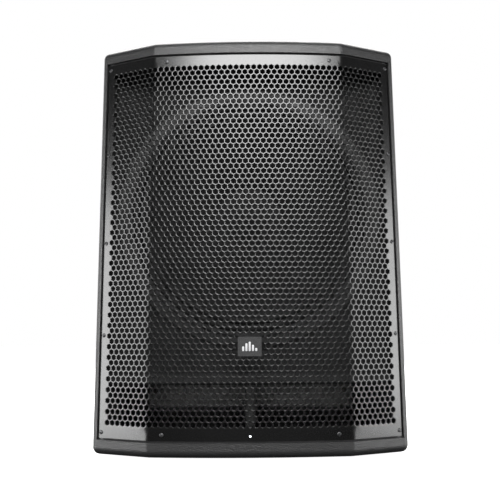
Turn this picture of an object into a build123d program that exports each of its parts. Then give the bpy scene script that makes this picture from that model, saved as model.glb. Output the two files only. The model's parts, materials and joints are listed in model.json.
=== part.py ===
from build123d import *
import os
from math import cos, pi, radians, sin, sqrt, tan

# Powered bass cabinet with one 18 inch driver. Millimetres. +Z is up, the front looks along -Y, and the
# origin is on the floor under the middle of the cabinet. Left and right are as seen from the front.

# ---------------------------------------------------------------- driving dimensions
BOX_W = 527
BOX_H = 705
BOX_D = 610
FOOT_H = 6

EDGE_R = 12
CORNER_R = 12.5
CREASE_R = 16
THICK = 24
PANEL = 19

BOW_HALF = 166
BOW_SAG = 10.4
WING_ANGLE = 25.3

GRILLE_T = 1.5
GRILLE_SET_BACK = 3.5
GRILLE_HALF_W = 254
GRILLE_H = 651
GRILLE_CREASE_R = 25
REBATE_HALF_W = 255.5

BAFFLE_SET_BACK = 77
PORT_H = 85
PORT_DEPTH = 378
PORT_LIP_R = 7
DIVIDER_INSET = 8

DRIVER_ABOVE_MIDDLE = 52
FLANGE_R = 232
CUT_OUT_R = 212
BOLT_CIRCLE_R = 219.5
DRIVER_BOLTS = 8
FIRST_BOLT_ANGLE = 22.5
BOLT_R = 3
BOLT_HEAD_R = 5
BOLT_HEAD_H = 5
BOLT_KEY_R = 2.5
BOLT_KEY_DEPTH = 3
COIL_R = 49.6

BADGE_BELOW_MIDDLE = 177
BADGE_W = 38.8
BADGE_H = 31.4
BADGE_CUT_W = 47.8
BADGE_CUT_H = 43.8
LED_BELOW_MIDDLE = 318.5

AMP_W = 260
AMP_H = 340
AMP_Z = 470

POLE_Y = 20
POLE_BORE_R = 18
POLE_DEPTH = 80

CASTER_X = 197
CASTER_LOW_Z = 110
CASTER_HIGH_Z = 625
CASTER_SPACING_X = 60
CASTER_SPACING_Z = 80

# ---------------------------------------------------------------- derived places
HALF_W = BOX_W / 2
INNER_HALF_W = HALF_W - PANEL
Y_FRONT = -BOX_D / 2
Y_BACK = BOX_D / 2
Z_BASE = FOOT_H
Z_TOP = FOOT_H + BOX_H
Z_MID = (Z_BASE + Z_TOP) / 2
Z_FLOOR = Z_BASE + THICK
Z_CEILING = Z_TOP - THICK
BOW_R = (BOW_HALF**2 + BOW_SAG**2) / (2 * BOW_SAG)
WING = radians(WING_ANGLE)
LEDGE_SET_BACK = GRILLE_SET_BACK + GRILLE_T
Y_BAFFLE = Y_FRONT + BAFFLE_SET_BACK
Y_REAR_PANEL = Y_BACK - PANEL
Z_PORT = Z_FLOOR + PORT_H
Z_SHELF = Z_PORT + PANEL
Y_PORT_END = Y_BAFFLE + PORT_DEPTH
DRIVER_Z = Z_MID + DRIVER_ABOVE_MIDDLE
DRIVER_AXIS = Axis((0, 0, DRIVER_Z), (0, 1, 0))

os.makedirs("parts", exist_ok=True)


# ---------------------------------------------------------------- shared shapes
def wing_y(x, set_back):
    """Depth of the straight wing of the front at a distance x from the centre plane."""
    return Y_FRONT + set_back + BOW_SAG + (abs(x) - BOW_HALF) * tan(WING)


def bow_y(x, set_back):
    """Depth of the bowed middle of the front at a distance x from the centre plane."""
    return Y_FRONT + set_back + BOW_R - sqrt(BOW_R**2 - x**2)


def bow_plane(x, z, set_back):
    """Plane on the bowed middle, facing out of the cabinet."""
    return Plane(origin=(x, bow_y(x, set_back), z), z_dir=(x / BOW_R, -cos(x / BOW_R), 0))


def wing_plane(side, x, z, set_back):
    """Plane on one wing, facing out of the cabinet."""
    return Plane(origin=(side * x, wing_y(x, set_back), z), z_dir=(side * sin(WING), -cos(WING), 0))


def front_curve(half_width, set_back):
    """The front's plan line from left to right: wing, bow, wing."""
    Line((-half_width, wing_y(half_width, set_back)), (-BOW_HALF, bow_y(BOW_HALF, set_back)))
    ThreePointArc(
        (-BOW_HALF, bow_y(BOW_HALF, set_back)),
        (0, Y_FRONT + set_back),
        (BOW_HALF, bow_y(BOW_HALF, set_back)),
    )
    Line((BOW_HALF, bow_y(BOW_HALF, set_back)), (half_width, wing_y(half_width, set_back)))


def flat_backed(low, high, half_width, set_back, flat_y):
    """Solid between the front curve and a flat plane across the cabinet."""
    with BuildPart() as solid:
        with BuildSketch(Plane.XY.offset(low)):
            with BuildLine():
                front_curve(half_width, set_back)
                Polyline(
                    (half_width, wing_y(half_width, set_back)),
                    (half_width, flat_y),
                    (-half_width, flat_y),
                    (-half_width, wing_y(half_width, set_back)),
                )
            make_face()
        extrude(amount=high - low)
    return solid.part


def curved_band(low, high, half_width, near, far):
    """Solid between two front curves, one behind the other."""
    with BuildPart() as solid:
        with BuildSketch(Plane.XY.offset(low)):
            with BuildLine():
                front_curve(half_width, near)
                front_curve(half_width, far)
                Line((half_width, wing_y(half_width, near)), (half_width, wing_y(half_width, far)))
                Line((-half_width, wing_y(half_width, near)), (-half_width, wing_y(half_width, far)))
            make_face()
        extrude(amount=high - low)
    return solid.part


def is_crease(edge):
    """True for an upright edge where a wing meets the bow."""
    return abs(abs(edge.center().X) - BOW_HALF) < 1


def block(x_range, y_range, z_range):
    """Plain box between two corners, made on its own."""
    size = [high - low for low, high in (x_range, y_range, z_range)]
    middle = [(low + high) / 2 for low, high in (x_range, y_range, z_range)]
    return Pos(*middle) * Box(*size, mode=Mode.PRIVATE)


def turned(points, z=DRIVER_Z):
    """Ring or disc turned about the driver's axis from (radius, y) points."""
    with BuildPart() as solid:
        with BuildSketch(Plane.XY.offset(z)):
            with BuildLine():
                Polyline(*points, close=True)
            make_face()
        revolve(axis=Axis((0, 0, z), (0, 1, 0)))
    return solid.part


def driver_places(radius, y, count, first_angle):
    """Planes facing forward, spaced round the driver's axis."""
    angles = [radians(first_angle + 360 * step / count) for step in range(count)]
    return [
        Plane(origin=(radius * cos(a), y, DRIVER_Z + radius * sin(a)), z_dir=(0, -1, 0))
        for a in angles
    ]


# ---------------------------------------------------------------- cabinet outer shape
with BuildPart() as body:
    add(flat_backed(Z_BASE, Z_TOP, HALF_W, 0, Y_BACK))
    upright = body.edges().filter_by(Axis.Z)
    fillet(upright.filter_by(is_crease, reverse=True), radius=CORNER_R)
    upright = body.edges().filter_by(Axis.Z)
    fillet(upright.filter_by(is_crease), radius=CREASE_R)
    rims = body.faces().filter_by(Axis.Z).edges()
    fillet(rims, radius=EDGE_R)

# ---------------------------------------------------------------- screws of the cabinet
FLAT_HEAD_R = 4.6
FLAT_HEAD_H = 2.5
SCREW_R = 2
SCREW_LENGTH = 16
PILOT_R = SCREW_R + 0.1
HANDLE_Y = 10
HANDLE_Z = 450
HANDLE_FLANGE_W = 212
HANDLE_FLANGE_H = 132
HANDLE_FLANGE_T = 3
HANDLE_FLANGE_R = 20
HANDLE_CUP_W = 176
HANDLE_CUP_H = 98
HANDLE_CUP_DEPTH = 56
HANDLE_CUP_R = 15
HANDLE_WALL = 3
HANDLE_SCREW_DX = 97
HANDLE_SCREW_DZ = 57
POLE_FLANGE_R = 50
POLE_FLANGE_T = 3
POLE_SCREW_R = 38
POLE_TUBE_R = 21
POLE_TUBE_FLOOR = 3
POLE_CHAMFER = 0.8
FOOT_R = 20
FOOT_X = 205
FOOT_FRONT_Y = -155
FOOT_BACK_Y = 250


def side_plane(side, y, z, depth=0):
    """Plane on the outer face of a side panel, facing out, its x along the cabinet's y."""
    return Plane(origin=(side * (HALF_W - depth), y, z), x_dir=(0, side, 0), z_dir=(side, 0, 0))


handle_screw_planes = [
    side_plane(side, HANDLE_Y + dy * HANDLE_SCREW_DX, HANDLE_Z + dz * HANDLE_SCREW_DZ)
    for side in (-1, 1)
    for dy in (-1, 1)
    for dz in (-1, 1)
]
pole_screw_planes = [
    Plane(origin=(dx * POLE_SCREW_R / sqrt(2), POLE_Y + dy * POLE_SCREW_R / sqrt(2), Z_TOP))
    for dx in (-1, 1)
    for dy in (-1, 1)
]
foot_places = [(dx * FOOT_X, y) for dx in (-1, 1) for y in (FOOT_FRONT_Y, FOOT_BACK_Y)]
FOOT_SCREW_DEPTH = 2.5
foot_screw_planes = [
    Plane(origin=(x, y, FOOT_SCREW_DEPTH), z_dir=(0, 0, -1)) for x, y in foot_places
]

with BuildPart() as cabinet_screws:
    with Locations(*handle_screw_planes, *pole_screw_planes, *foot_screw_planes):
        Cone(SCREW_R, FLAT_HEAD_R - 0.1, FLAT_HEAD_H, align=(Align.CENTER, Align.CENTER, Align.MAX))
        Cylinder(SCREW_R, SCREW_LENGTH, align=(Align.CENTER, Align.CENTER, Align.MAX))
cabinet_screws.part.label = "cabinet_screws"
export_step(cabinet_screws.part, "parts/cabinet_screws.step")

# ---------------------------------------------------------------- top and bottom panels
with BuildPart() as top_panel:
    add(body.part)
    add(block((-BOX_W, BOX_W), (-BOX_D, BOX_D), (Z_CEILING, Z_TOP)), mode=Mode.INTERSECT)
    with Locations((0, POLE_Y, Z_TOP)):
        CounterBoreHole(POLE_TUBE_R + 0.5, POLE_FLANGE_R + 0.5, POLE_FLANGE_T)
    with Locations(*pole_screw_planes):
        Hole(PILOT_R, SCREW_LENGTH + 1)
top_panel.part.label = "top_panel"
export_step(top_panel.part, "parts/top_panel.step")

with BuildPart() as bottom_panel:
    add(body.part)
    add(block((-BOX_W, BOX_W), (-BOX_D, BOX_D), (Z_BASE, Z_FLOOR)), mode=Mode.INTERSECT)
    with Locations(*foot_screw_planes):
        Hole(PILOT_R, SCREW_LENGTH + 1)
bottom_panel.part.label = "bottom_panel"
export_step(bottom_panel.part, "parts/bottom_panel.step")

# ---------------------------------------------------------------- grille screws
GRILLE_SCREW_X = 248.5
GRILLE_SCREW_DZ = 316.5
GRILLE_SCREW_SIDE_DZ = 157.5
GRILLE_SCREW_BOW_X = 143
GRILLE_HEAD_R = 3.4
GRILLE_HEAD_H = 1.8
GRILLE_SCREW_R = 1.4
GRILLE_SCREW_LENGTH = 4.6
GRILLE_HEAD_ROUND = 1.2

side_screw_heights = [
    Z_MID + dz
    for dz in (-GRILLE_SCREW_DZ, -GRILLE_SCREW_SIDE_DZ, 0, GRILLE_SCREW_SIDE_DZ, GRILLE_SCREW_DZ)
]
wing_screw_planes = [
    wing_plane(side, GRILLE_SCREW_X, z, GRILLE_SET_BACK) for side in (-1, 1) for z in side_screw_heights
]
bow_screw_planes = [
    bow_plane(x, Z_MID + dz, GRILLE_SET_BACK)
    for x in (-GRILLE_SCREW_BOW_X, GRILLE_SCREW_BOW_X)
    for dz in (-GRILLE_SCREW_DZ, GRILLE_SCREW_DZ)
]
with BuildPart() as pan_screw:
    Cylinder(GRILLE_HEAD_R, GRILLE_HEAD_H, align=(Align.CENTER, Align.CENTER, Align.MIN))
    fillet(pan_screw.edges().sort_by(Axis.Z)[-1], radius=GRILLE_HEAD_ROUND)
    Cylinder(
        GRILLE_SCREW_R,
        GRILLE_T + GRILLE_SCREW_LENGTH,
        align=(Align.CENTER, Align.CENTER, Align.MAX),
    )

with BuildPart() as grille_screws:
    with Locations(*wing_screw_planes, *bow_screw_planes):
        add(pan_screw.part)
grille_screws.part.label = "grille_screws"
export_step(grille_screws.part, "parts/grille_screws.step")

# ---------------------------------------------------------------- side panels
grille_pocket = flat_backed(Z_FLOOR, Z_CEILING, REBATE_HALF_W, LEDGE_SET_BACK, 2 * Y_FRONT)

for side, name in ((-1, "left"), (1, "right")):
    across = sorted((side * INNER_HALF_W, side * BOX_W))
    with BuildPart() as side_panel:
        add(body.part)
        add(block(across, (-BOX_D, BOX_D), (Z_FLOOR, Z_CEILING)), mode=Mode.INTERSECT)
        add(grille_pocket, mode=Mode.SUBTRACT)
        with Locations(*[p for p in wing_screw_planes if p.origin.X * side > 0]):
            Hole(GRILLE_SCREW_R + 0.1, GRILLE_T + GRILLE_SCREW_LENGTH + 0.5)
        with BuildSketch(side_plane(side, HANDLE_Y, HANDLE_Z)):
            RectangleRounded(HANDLE_FLANGE_W + 1, HANDLE_FLANGE_H + 1, HANDLE_FLANGE_R + 0.5)
        extrude(amount=-HANDLE_FLANGE_T, mode=Mode.SUBTRACT)
        with BuildSketch(side_plane(side, HANDLE_Y, HANDLE_Z)):
            RectangleRounded(HANDLE_CUP_W + 1, HANDLE_CUP_H + 1, HANDLE_CUP_R + 0.5)
        extrude(amount=-PANEL, mode=Mode.SUBTRACT)
        with Locations(*[p for p in handle_screw_planes if p.origin.X * side > 0]):
            Hole(PILOT_R, SCREW_LENGTH + 0.5)
    side_panel.part.label = f"{name}_side_panel"
    export_step(side_panel.part, f"parts/{name}_side_panel.step")

# ---------------------------------------------------------------- handles
GRIP_T = 20
GRIP_H = 26
GRIP_ROUND = 8
GRIP_ABOVE_MIDDLE = 12
GRIP_DEPTH = 3

for side, name in ((-1, "left"), (1, "right")):
    with BuildPart() as handle_dish:
        with BuildSketch(side_plane(side, HANDLE_Y, HANDLE_Z)):
            RectangleRounded(HANDLE_FLANGE_W, HANDLE_FLANGE_H, HANDLE_FLANGE_R)
        extrude(amount=-HANDLE_FLANGE_T)
        with BuildSketch(side_plane(side, HANDLE_Y, HANDLE_Z)):
            RectangleRounded(HANDLE_CUP_W, HANDLE_CUP_H, HANDLE_CUP_R)
        extrude(amount=-HANDLE_CUP_DEPTH)
        with BuildSketch(side_plane(side, HANDLE_Y, HANDLE_Z)):
            RectangleRounded(
                HANDLE_CUP_W - 2 * HANDLE_WALL, HANDLE_CUP_H - 2 * HANDLE_WALL, HANDLE_CUP_R - HANDLE_WALL
            )
        extrude(amount=HANDLE_WALL - HANDLE_CUP_DEPTH, mode=Mode.SUBTRACT)
        with Locations(*[p for p in handle_screw_planes if p.origin.X * side > 0]):
            CounterSinkHole(PILOT_R, FLAT_HEAD_R, HANDLE_FLANGE_T + 1)
    handle_dish.part.label = f"{name}_handle_dish"
    export_step(handle_dish.part, f"parts/{name}_handle_dish.step")

    grip_end = HANDLE_Y - HANDLE_CUP_W / 2 + HANDLE_WALL
    with BuildPart() as handle_grip:
        with BuildSketch(
            Plane(
                origin=(side * (HALF_W - GRIP_DEPTH - GRIP_T / 2), grip_end, HANDLE_Z + GRIP_ABOVE_MIDDLE),
                x_dir=(1, 0, 0),
                z_dir=(0, 1, 0),
            )
        ):
            RectangleRounded(GRIP_T, GRIP_H, GRIP_ROUND)
        extrude(amount=HANDLE_CUP_W - 2 * HANDLE_WALL)
    handle_grip.part.label = f"{name}_handle_grip"
    export_step(handle_grip.part, f"parts/{name}_handle_grip.step")

# ---------------------------------------------------------------- pole socket and feet
with BuildPart() as pole_socket:
    with Locations((0, POLE_Y, Z_TOP)):
        Cylinder(POLE_FLANGE_R, POLE_FLANGE_T, align=(Align.CENTER, Align.CENTER, Align.MAX))
        Cylinder(POLE_TUBE_R, POLE_DEPTH + POLE_TUBE_FLOOR, align=(Align.CENTER, Align.CENTER, Align.MAX))
        Hole(POLE_BORE_R, POLE_DEPTH)
    rim_circles = pole_socket.edges().filter_by(GeomType.CIRCLE).group_by(Axis.Z)[-1]
    chamfer(rim_circles.sort_by(SortBy.RADIUS)[-1], POLE_CHAMFER)
    with Locations(*pole_screw_planes):
        CounterSinkHole(PILOT_R, FLAT_HEAD_R, POLE_FLANGE_T + 1)
pole_socket.part.label = "pole_socket"
export_step(pole_socket.part, "parts/pole_socket.step")

with BuildPart() as rubber_feet:
    with Locations(*[(x, y, 0) for x, y in foot_places]):
        Cone(FOOT_R - 2, FOOT_R, FOOT_H, align=(Align.CENTER, Align.CENTER, Align.MIN))
    with Locations(*[Plane(origin=(x, y, 0), z_dir=(0, 0, -1)) for x, y in foot_places]):
        CounterBoreHole(PILOT_R, FLAT_HEAD_R + 0.8, FOOT_SCREW_DEPTH)
    with Locations(*foot_screw_planes):
        Cone(
            PILOT_R,
            FLAT_HEAD_R,
            FLAT_HEAD_H,
            align=(Align.CENTER, Align.CENTER, Align.MAX),
            mode=Mode.SUBTRACT,
        )
rubber_feet.part.label = "rubber_feet"
export_step(rubber_feet.part, "parts/rubber_feet.step")

# ---------------------------------------------------------------- inner woodwork
with BuildPart() as front_baffle:
    add(block((-INNER_HALF_W, INNER_HALF_W), (Y_BAFFLE, Y_BAFFLE + PANEL), (Z_SHELF, Z_CEILING)))
    with Locations(Plane(origin=(0, Y_BAFFLE, DRIVER_Z), z_dir=(0, -1, 0))):
        Hole(CUT_OUT_R, PANEL)
    with Locations(*driver_places(BOLT_CIRCLE_R, Y_BAFFLE, DRIVER_BOLTS, FIRST_BOLT_ANGLE)):
        Hole(BOLT_R + 0.1, PANEL)
front_baffle.part.label = "front_baffle"
export_step(front_baffle.part, "parts/front_baffle.step")

with BuildPart() as port_shelf:
    add(block((-INNER_HALF_W, INNER_HALF_W), (Y_BAFFLE, Y_PORT_END), (Z_PORT, Z_SHELF)))
    fillet(port_shelf.edges().filter_by(Axis.X).group_by(Axis.Z)[0], radius=PORT_LIP_R)
port_shelf.part.label = "port_shelf"
export_step(port_shelf.part, "parts/port_shelf.step")

with BuildPart() as port_divider:
    divider_depth = (Y_BAFFLE + DIVIDER_INSET, Y_PORT_END - DIVIDER_INSET)
    add(block((-PANEL / 2, PANEL / 2), divider_depth, (Z_FLOOR, Z_PORT)))
    fillet(port_divider.edges().filter_by(Axis.Z), radius=PORT_LIP_R)
port_divider.part.label = "port_divider"
export_step(port_divider.part, "parts/port_divider.step")

BRACE_Y = 125
BRACE_WINDOW_W = 370
BRACE_RIM = 55
BRACE_WINDOW_R = 40
with BuildPart() as window_brace:
    add(block((-INNER_HALF_W, INNER_HALF_W), (BRACE_Y, BRACE_Y + PANEL), (Z_SHELF, Z_CEILING)))
    with BuildSketch(Plane(origin=(0, BRACE_Y, (Z_SHELF + Z_CEILING) / 2), z_dir=(0, -1, 0))):
        RectangleRounded(BRACE_WINDOW_W, Z_CEILING - Z_SHELF - 2 * BRACE_RIM, BRACE_WINDOW_R)
    extrude(amount=-PANEL, mode=Mode.SUBTRACT)
window_brace.part.label = "window_brace"
export_step(window_brace.part, "parts/window_brace.step")

BATTEN_H = 20
BATTEN_DEPTH = 20
batten_screws = {
    "top": [p for p in bow_screw_planes if p.origin.Z > Z_MID],
    "bottom": [p for p in bow_screw_planes if p.origin.Z < Z_MID],
}
LED_Z = Z_MID - LED_BELOW_MIDDLE
LED_R = 1.5
LED_HOLDER_R = 2.8
for name, low in (("top", Z_CEILING - BATTEN_H), ("bottom", Z_FLOOR)):
    with BuildPart() as grille_batten:
        add(
            curved_band(
                low, low + BATTEN_H, INNER_HALF_W, LEDGE_SET_BACK, LEDGE_SET_BACK + BATTEN_DEPTH
            )
        )
        creases = grille_batten.edges().filter_by(Axis.Z).filter_by(is_crease)
        fillet(creases.sort_by(Axis.Y)[:2], GRILLE_CREASE_R - GRILLE_T)
        with Locations(*batten_screws[name]):
            Hole(GRILLE_SCREW_R + 0.1, GRILLE_T + GRILLE_SCREW_LENGTH + 0.5)
        if name == "bottom":
            with Locations(Plane(origin=(0, Y_FRONT, LED_Z), z_dir=(0, -1, 0))):
                Hole(LED_HOLDER_R + 0.1, 2 * BATTEN_DEPTH)
    grille_batten.part.label = f"grille_batten_{name}"
    export_step(grille_batten.part, f"parts/grille_batten_{name}.step")

# ---------------------------------------------------------------- lining pads
LINING_T = 25
LINING_TOP_HALF_W = 200
LINING_TOP_Y = (-120, 110)
LINING_SIDE_Y = (-180, 115)
LINING_SIDE_Z = (150, 600)
with BuildPart() as lining_top:
    across = (-LINING_TOP_HALF_W, LINING_TOP_HALF_W)
    add(block(across, LINING_TOP_Y, (Z_CEILING - LINING_T, Z_CEILING)))
    with Locations((0, POLE_Y, Z_CEILING)):
        Hole(POLE_TUBE_R + 4, LINING_T)
lining_top.part.label = "lining_top"
export_step(lining_top.part, "parts/lining_top.step")

for side, name in ((-1, "left"), (1, "right")):
    across = sorted((side * (INNER_HALF_W - LINING_T), side * INNER_HALF_W))
    with BuildPart() as lining_side:
        add(block(across, LINING_SIDE_Y, LINING_SIDE_Z))
        with BuildSketch(side_plane(side, HANDLE_Y, HANDLE_Z)):
            RectangleRounded(HANDLE_CUP_W + 10, HANDLE_CUP_H + 10, 20)
        extrude(amount=-PANEL - LINING_T, mode=Mode.SUBTRACT)
    lining_side.part.label = f"lining_{name}"
    export_step(lining_side.part, f"parts/lining_{name}.step")

# ---------------------------------------------------------------- grille, badge and front light
with BuildPart() as grille:
    add(
        curved_band(
            Z_MID - GRILLE_H / 2, Z_MID + GRILLE_H / 2, GRILLE_HALF_W, GRILLE_SET_BACK, LEDGE_SET_BACK
        )
    )
    creases = grille.edges().filter_by(Axis.Z).filter_by(is_crease).sort_by(Axis.Y)
    fillet(creases[:2], GRILLE_CREASE_R)
    creases = grille.edges().filter_by(Axis.Z).filter_by(is_crease)
    fillet(creases, GRILLE_CREASE_R - GRILLE_T)
    with BuildSketch(Plane(origin=(0, Y_FRONT, Z_MID - BADGE_BELOW_MIDDLE), z_dir=(0, -1, 0))):
        Rectangle(BADGE_CUT_W, BADGE_CUT_H)
    extrude(amount=-4 * LEDGE_SET_BACK, mode=Mode.SUBTRACT)
    with Locations(Plane(origin=(0, Y_FRONT, LED_Z), z_dir=(0, -1, 0))):
        Hole(LED_R + 0.2, 4 * LEDGE_SET_BACK)
    with Locations(*wing_screw_planes, *bow_screw_planes):
        Hole(GRILLE_SCREW_R + 0.3, 2 * GRILLE_T)
grille.part.label = "grille"
export_step(grille.part, "parts/grille.step")

BADGE_T = 2
BADGE_POST_R = 3.95
BRACKET_BORE_R = 4
BADGE_Z = Z_MID - BADGE_BELOW_MIDDLE
Y_BADGE = Y_FRONT + 0.5
Y_BRACKET = Y_FRONT + LEDGE_SET_BACK + 0.5
BRACKET_T = 1.5


def facing_front(x, y, z):
    """Plane whose normal points out of the front, its x to the right as seen from there."""
    return Plane(origin=(x, y, z), x_dir=(1, 0, 0), z_dir=(0, -1, 0))


with BuildPart() as badge:
    with BuildSketch(facing_front(0, Y_BADGE, BADGE_Z)):
        RectangleRounded(BADGE_W, BADGE_H, 1)
    extrude(amount=-BADGE_T)
    with BuildSketch(facing_front(0, Y_BADGE + BADGE_T, BADGE_Z)):
        Circle(BADGE_POST_R)
    extrude(amount=-(Y_BRACKET + BRACKET_T + 0.5 - Y_BADGE - BADGE_T))
    with BuildSketch(facing_front(0, Y_BRACKET + BRACKET_T + 0.4, BADGE_Z)):
        Circle(BADGE_POST_R + 1.5)
    extrude(amount=-1)
badge.part.label = "badge"
export_step(badge.part, "parts/badge.step")

with BuildPart() as badge_bracket:
    with BuildSketch(facing_front(0, Y_BRACKET, BADGE_Z)):
        RectangleRounded(BADGE_CUT_W + 20, 14, 3)
    extrude(amount=-BRACKET_T)
    with Locations(facing_front(0, Y_BRACKET, BADGE_Z)):
        Hole(BRACKET_BORE_R, BRACKET_T)
badge_bracket.part.label = "badge_bracket"
export_step(badge_bracket.part, "parts/badge_bracket.step")

with BuildPart() as front_led:
    with BuildSketch(facing_front(0, Y_FRONT + LEDGE_SET_BACK + 0.2, LED_Z)):
        Circle(LED_HOLDER_R)
    extrude(amount=-10)
    with BuildSketch(facing_front(0, Y_FRONT + LEDGE_SET_BACK + 0.2, LED_Z)):
        Circle(LED_R)
    extrude(amount=GRILLE_T + 0.4)
    with Locations((0, Y_FRONT + GRILLE_SET_BACK - 0.2, LED_Z)):
        Sphere(LED_R)
front_led.part.label = "front_led"
export_step(front_led.part, "parts/front_led.step")

# ---------------------------------------------------------------- driver
FLANGE_T = 6
FRAME_T = 4
Y_FLANGE = Y_BAFFLE - FLANGE_T
Y_LANDING = Y_BAFFLE + 100
Y_HUB = Y_BAFFLE + 134
TOP_PLATE_T = 14
MAGNET_T = 25
BACK_PLATE_T = 12
MAGNET_R = 110
MAGNET_HOLE_R = 60
POLE_R = 48.4
VENT_R = 20
GAP_R = 52
FRAME_NECK_R = 104
LANDING_R = 138
FRAME_INNER_R = 205
FRAME_REAR_R = 211
ARMS = 8
WINDOW_R = 100
WINDOW_HALF_W = 58
WINDOW_REAR_HALF_W = 36
WINDOW_D = 76
WINDOW_CORNER_R = 12
Y_WINDOW = Y_BAFFLE + 10
arm_angles = [radians(360 * step / ARMS) for step in range(ARMS)]

with BuildPart() as driver_basket:
    add(
        turned(
            (
                (FRAME_INNER_R, Y_FLANGE),
                (FLANGE_R, Y_FLANGE),
                (FLANGE_R, Y_BAFFLE),
                (FRAME_REAR_R, Y_BAFFLE),
                (LANDING_R + FRAME_T, Y_LANDING + FRAME_T),
                (FRAME_NECK_R, Y_LANDING + FRAME_T),
                (FRAME_NECK_R, Y_HUB),
                (MAGNET_HOLE_R, Y_HUB),
                (MAGNET_HOLE_R, Y_HUB - FRAME_T),
                (FRAME_NECK_R - FRAME_T, Y_HUB - FRAME_T),
                (FRAME_NECK_R - FRAME_T, Y_LANDING),
                (LANDING_R - FRAME_T, Y_LANDING),
                (FRAME_INNER_R, Y_BAFFLE),
            )
        )
    )
    for a in arm_angles:
        window = Plane(
            origin=(WINDOW_R * cos(a), Y_WINDOW, DRIVER_Z + WINDOW_R * sin(a)),
            x_dir=(0, 1, 0),
            z_dir=(cos(a), 0, sin(a)),
        )
        with BuildSketch(window):
            with BuildLine():
                Polyline(
                    (0, -WINDOW_HALF_W),
                    (0, WINDOW_HALF_W),
                    (WINDOW_D, WINDOW_REAR_HALF_W),
                    (WINDOW_D, -WINDOW_REAR_HALF_W),
                    close=True,
                )
            make_face()
            fillet(vertices(), radius=WINDOW_CORNER_R)
        extrude(amount=FLANGE_R, mode=Mode.SUBTRACT)
    with Locations(*driver_places(BOLT_CIRCLE_R, Y_FLANGE, DRIVER_BOLTS, FIRST_BOLT_ANGLE)):
        Hole(BOLT_R + 0.2, FLANGE_T)
driver_basket.part.label = "driver_basket"
export_step(driver_basket.part, "parts/driver_basket.step")

SURROUND_T = 1.2
ROLL_R = 6
SEAT_R = 213
Y_SURROUND = Y_FLANGE - SURROUND_T
GASKET_H = 4
with BuildPart() as driver_gasket:
    add(
        turned(
            (
                (FRAME_INNER_R + 1.5, Y_SURROUND),
                (SEAT_R, Y_SURROUND),
                (SEAT_R, Y_SURROUND - GASKET_H),
                (FRAME_INNER_R + 1.5, Y_SURROUND - GASKET_H),
            )
        )
    )
driver_gasket.part.label = "driver_gasket"
export_step(driver_gasket.part, "parts/driver_gasket.step")

CONE_EDGE_R = FRAME_INNER_R - 4 * ROLL_R
LIP_W = 5
with BuildPart() as driver_surround:
    with BuildSketch(Plane.XY.offset(DRIVER_Z)):
        with BuildLine():
            Line((SEAT_R, Y_FLANGE), (FRAME_INNER_R, Y_FLANGE))
            for step in range(2):
                start = FRAME_INNER_R - step * 2 * ROLL_R
                ThreePointArc(
                    (start, Y_FLANGE),
                    (start - ROLL_R, Y_FLANGE - ROLL_R),
                    (start - 2 * ROLL_R, Y_FLANGE),
                )
            Line((CONE_EDGE_R, Y_FLANGE), (CONE_EDGE_R - LIP_W, Y_FLANGE))
            Line((CONE_EDGE_R - LIP_W, Y_FLANGE), (CONE_EDGE_R - LIP_W, Y_SURROUND))
            Line((CONE_EDGE_R - LIP_W, Y_SURROUND), (CONE_EDGE_R - SURROUND_T, Y_SURROUND))
            for step in range(2):
                start = CONE_EDGE_R + step * 2 * ROLL_R
                ThreePointArc(
                    (start - SURROUND_T if step == 0 else start, Y_SURROUND),
                    (start + ROLL_R, Y_SURROUND - ROLL_R),
                    (start + 2 * ROLL_R + (SURROUND_T if step == 1 else 0), Y_SURROUND),
                )
            Line((FRAME_INNER_R + SURROUND_T, Y_SURROUND), (SEAT_R, Y_SURROUND))
            Line((SEAT_R, Y_SURROUND), (SEAT_R, Y_FLANGE))
        make_face()
    revolve(axis=DRIVER_AXIS)
driver_surround.part.label = "driver_surround"
export_step(driver_surround.part, "parts/driver_surround.step")

CONE_T = 1.5
FORMER_T = 0.4
Y_CONE_NECK = Y_FLANGE + 85
Y_CONE_LIP = Y_FLANGE + 0.4
NECK_R = COIL_R + 0.1
with BuildPart() as driver_cone:
    add(
        turned(
            (
                (NECK_R, Y_CONE_NECK),
                (CONE_EDGE_R - LIP_W, Y_CONE_LIP),
                (CONE_EDGE_R - 0.5, Y_CONE_LIP),
                (CONE_EDGE_R - 0.5, Y_CONE_LIP + CONE_T),
                (CONE_EDGE_R - LIP_W, Y_CONE_LIP + CONE_T),
                (NECK_R, Y_CONE_NECK + CONE_T),
            )
        )
    )
driver_cone.part.label = "driver_cone"
export_step(driver_cone.part, "parts/driver_cone.step")

CAP_R = 64
CAP_RISE = 20
CAP_SPHERE_R = (CAP_R**2 + CAP_RISE**2) / (2 * CAP_RISE)
cone_slope = (Y_CONE_NECK - Y_CONE_LIP) / (CONE_EDGE_R - LIP_W - NECK_R)
Y_CAP = Y_CONE_NECK - cone_slope * (CAP_R - NECK_R) - 0.3
with BuildPart() as driver_dust_cap:
    with BuildSketch(Plane.XY.offset(DRIVER_Z)):
        with BuildLine():
            front = RadiusArc((0, Y_CAP - CAP_RISE), (CAP_R, Y_CAP), CAP_SPHERE_R)
            back = RadiusArc((0, Y_CAP - CAP_RISE + CONE_T), (CAP_R - CONE_T, Y_CAP), CAP_SPHERE_R - CONE_T)
            Line(front @ 0, back @ 0)
            Line(front @ 1, back @ 1)
        make_face()
    revolve(axis=DRIVER_AXIS)
driver_dust_cap.part.label = "driver_dust_cap"
export_step(driver_dust_cap.part, "parts/driver_dust_cap.step")

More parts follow.
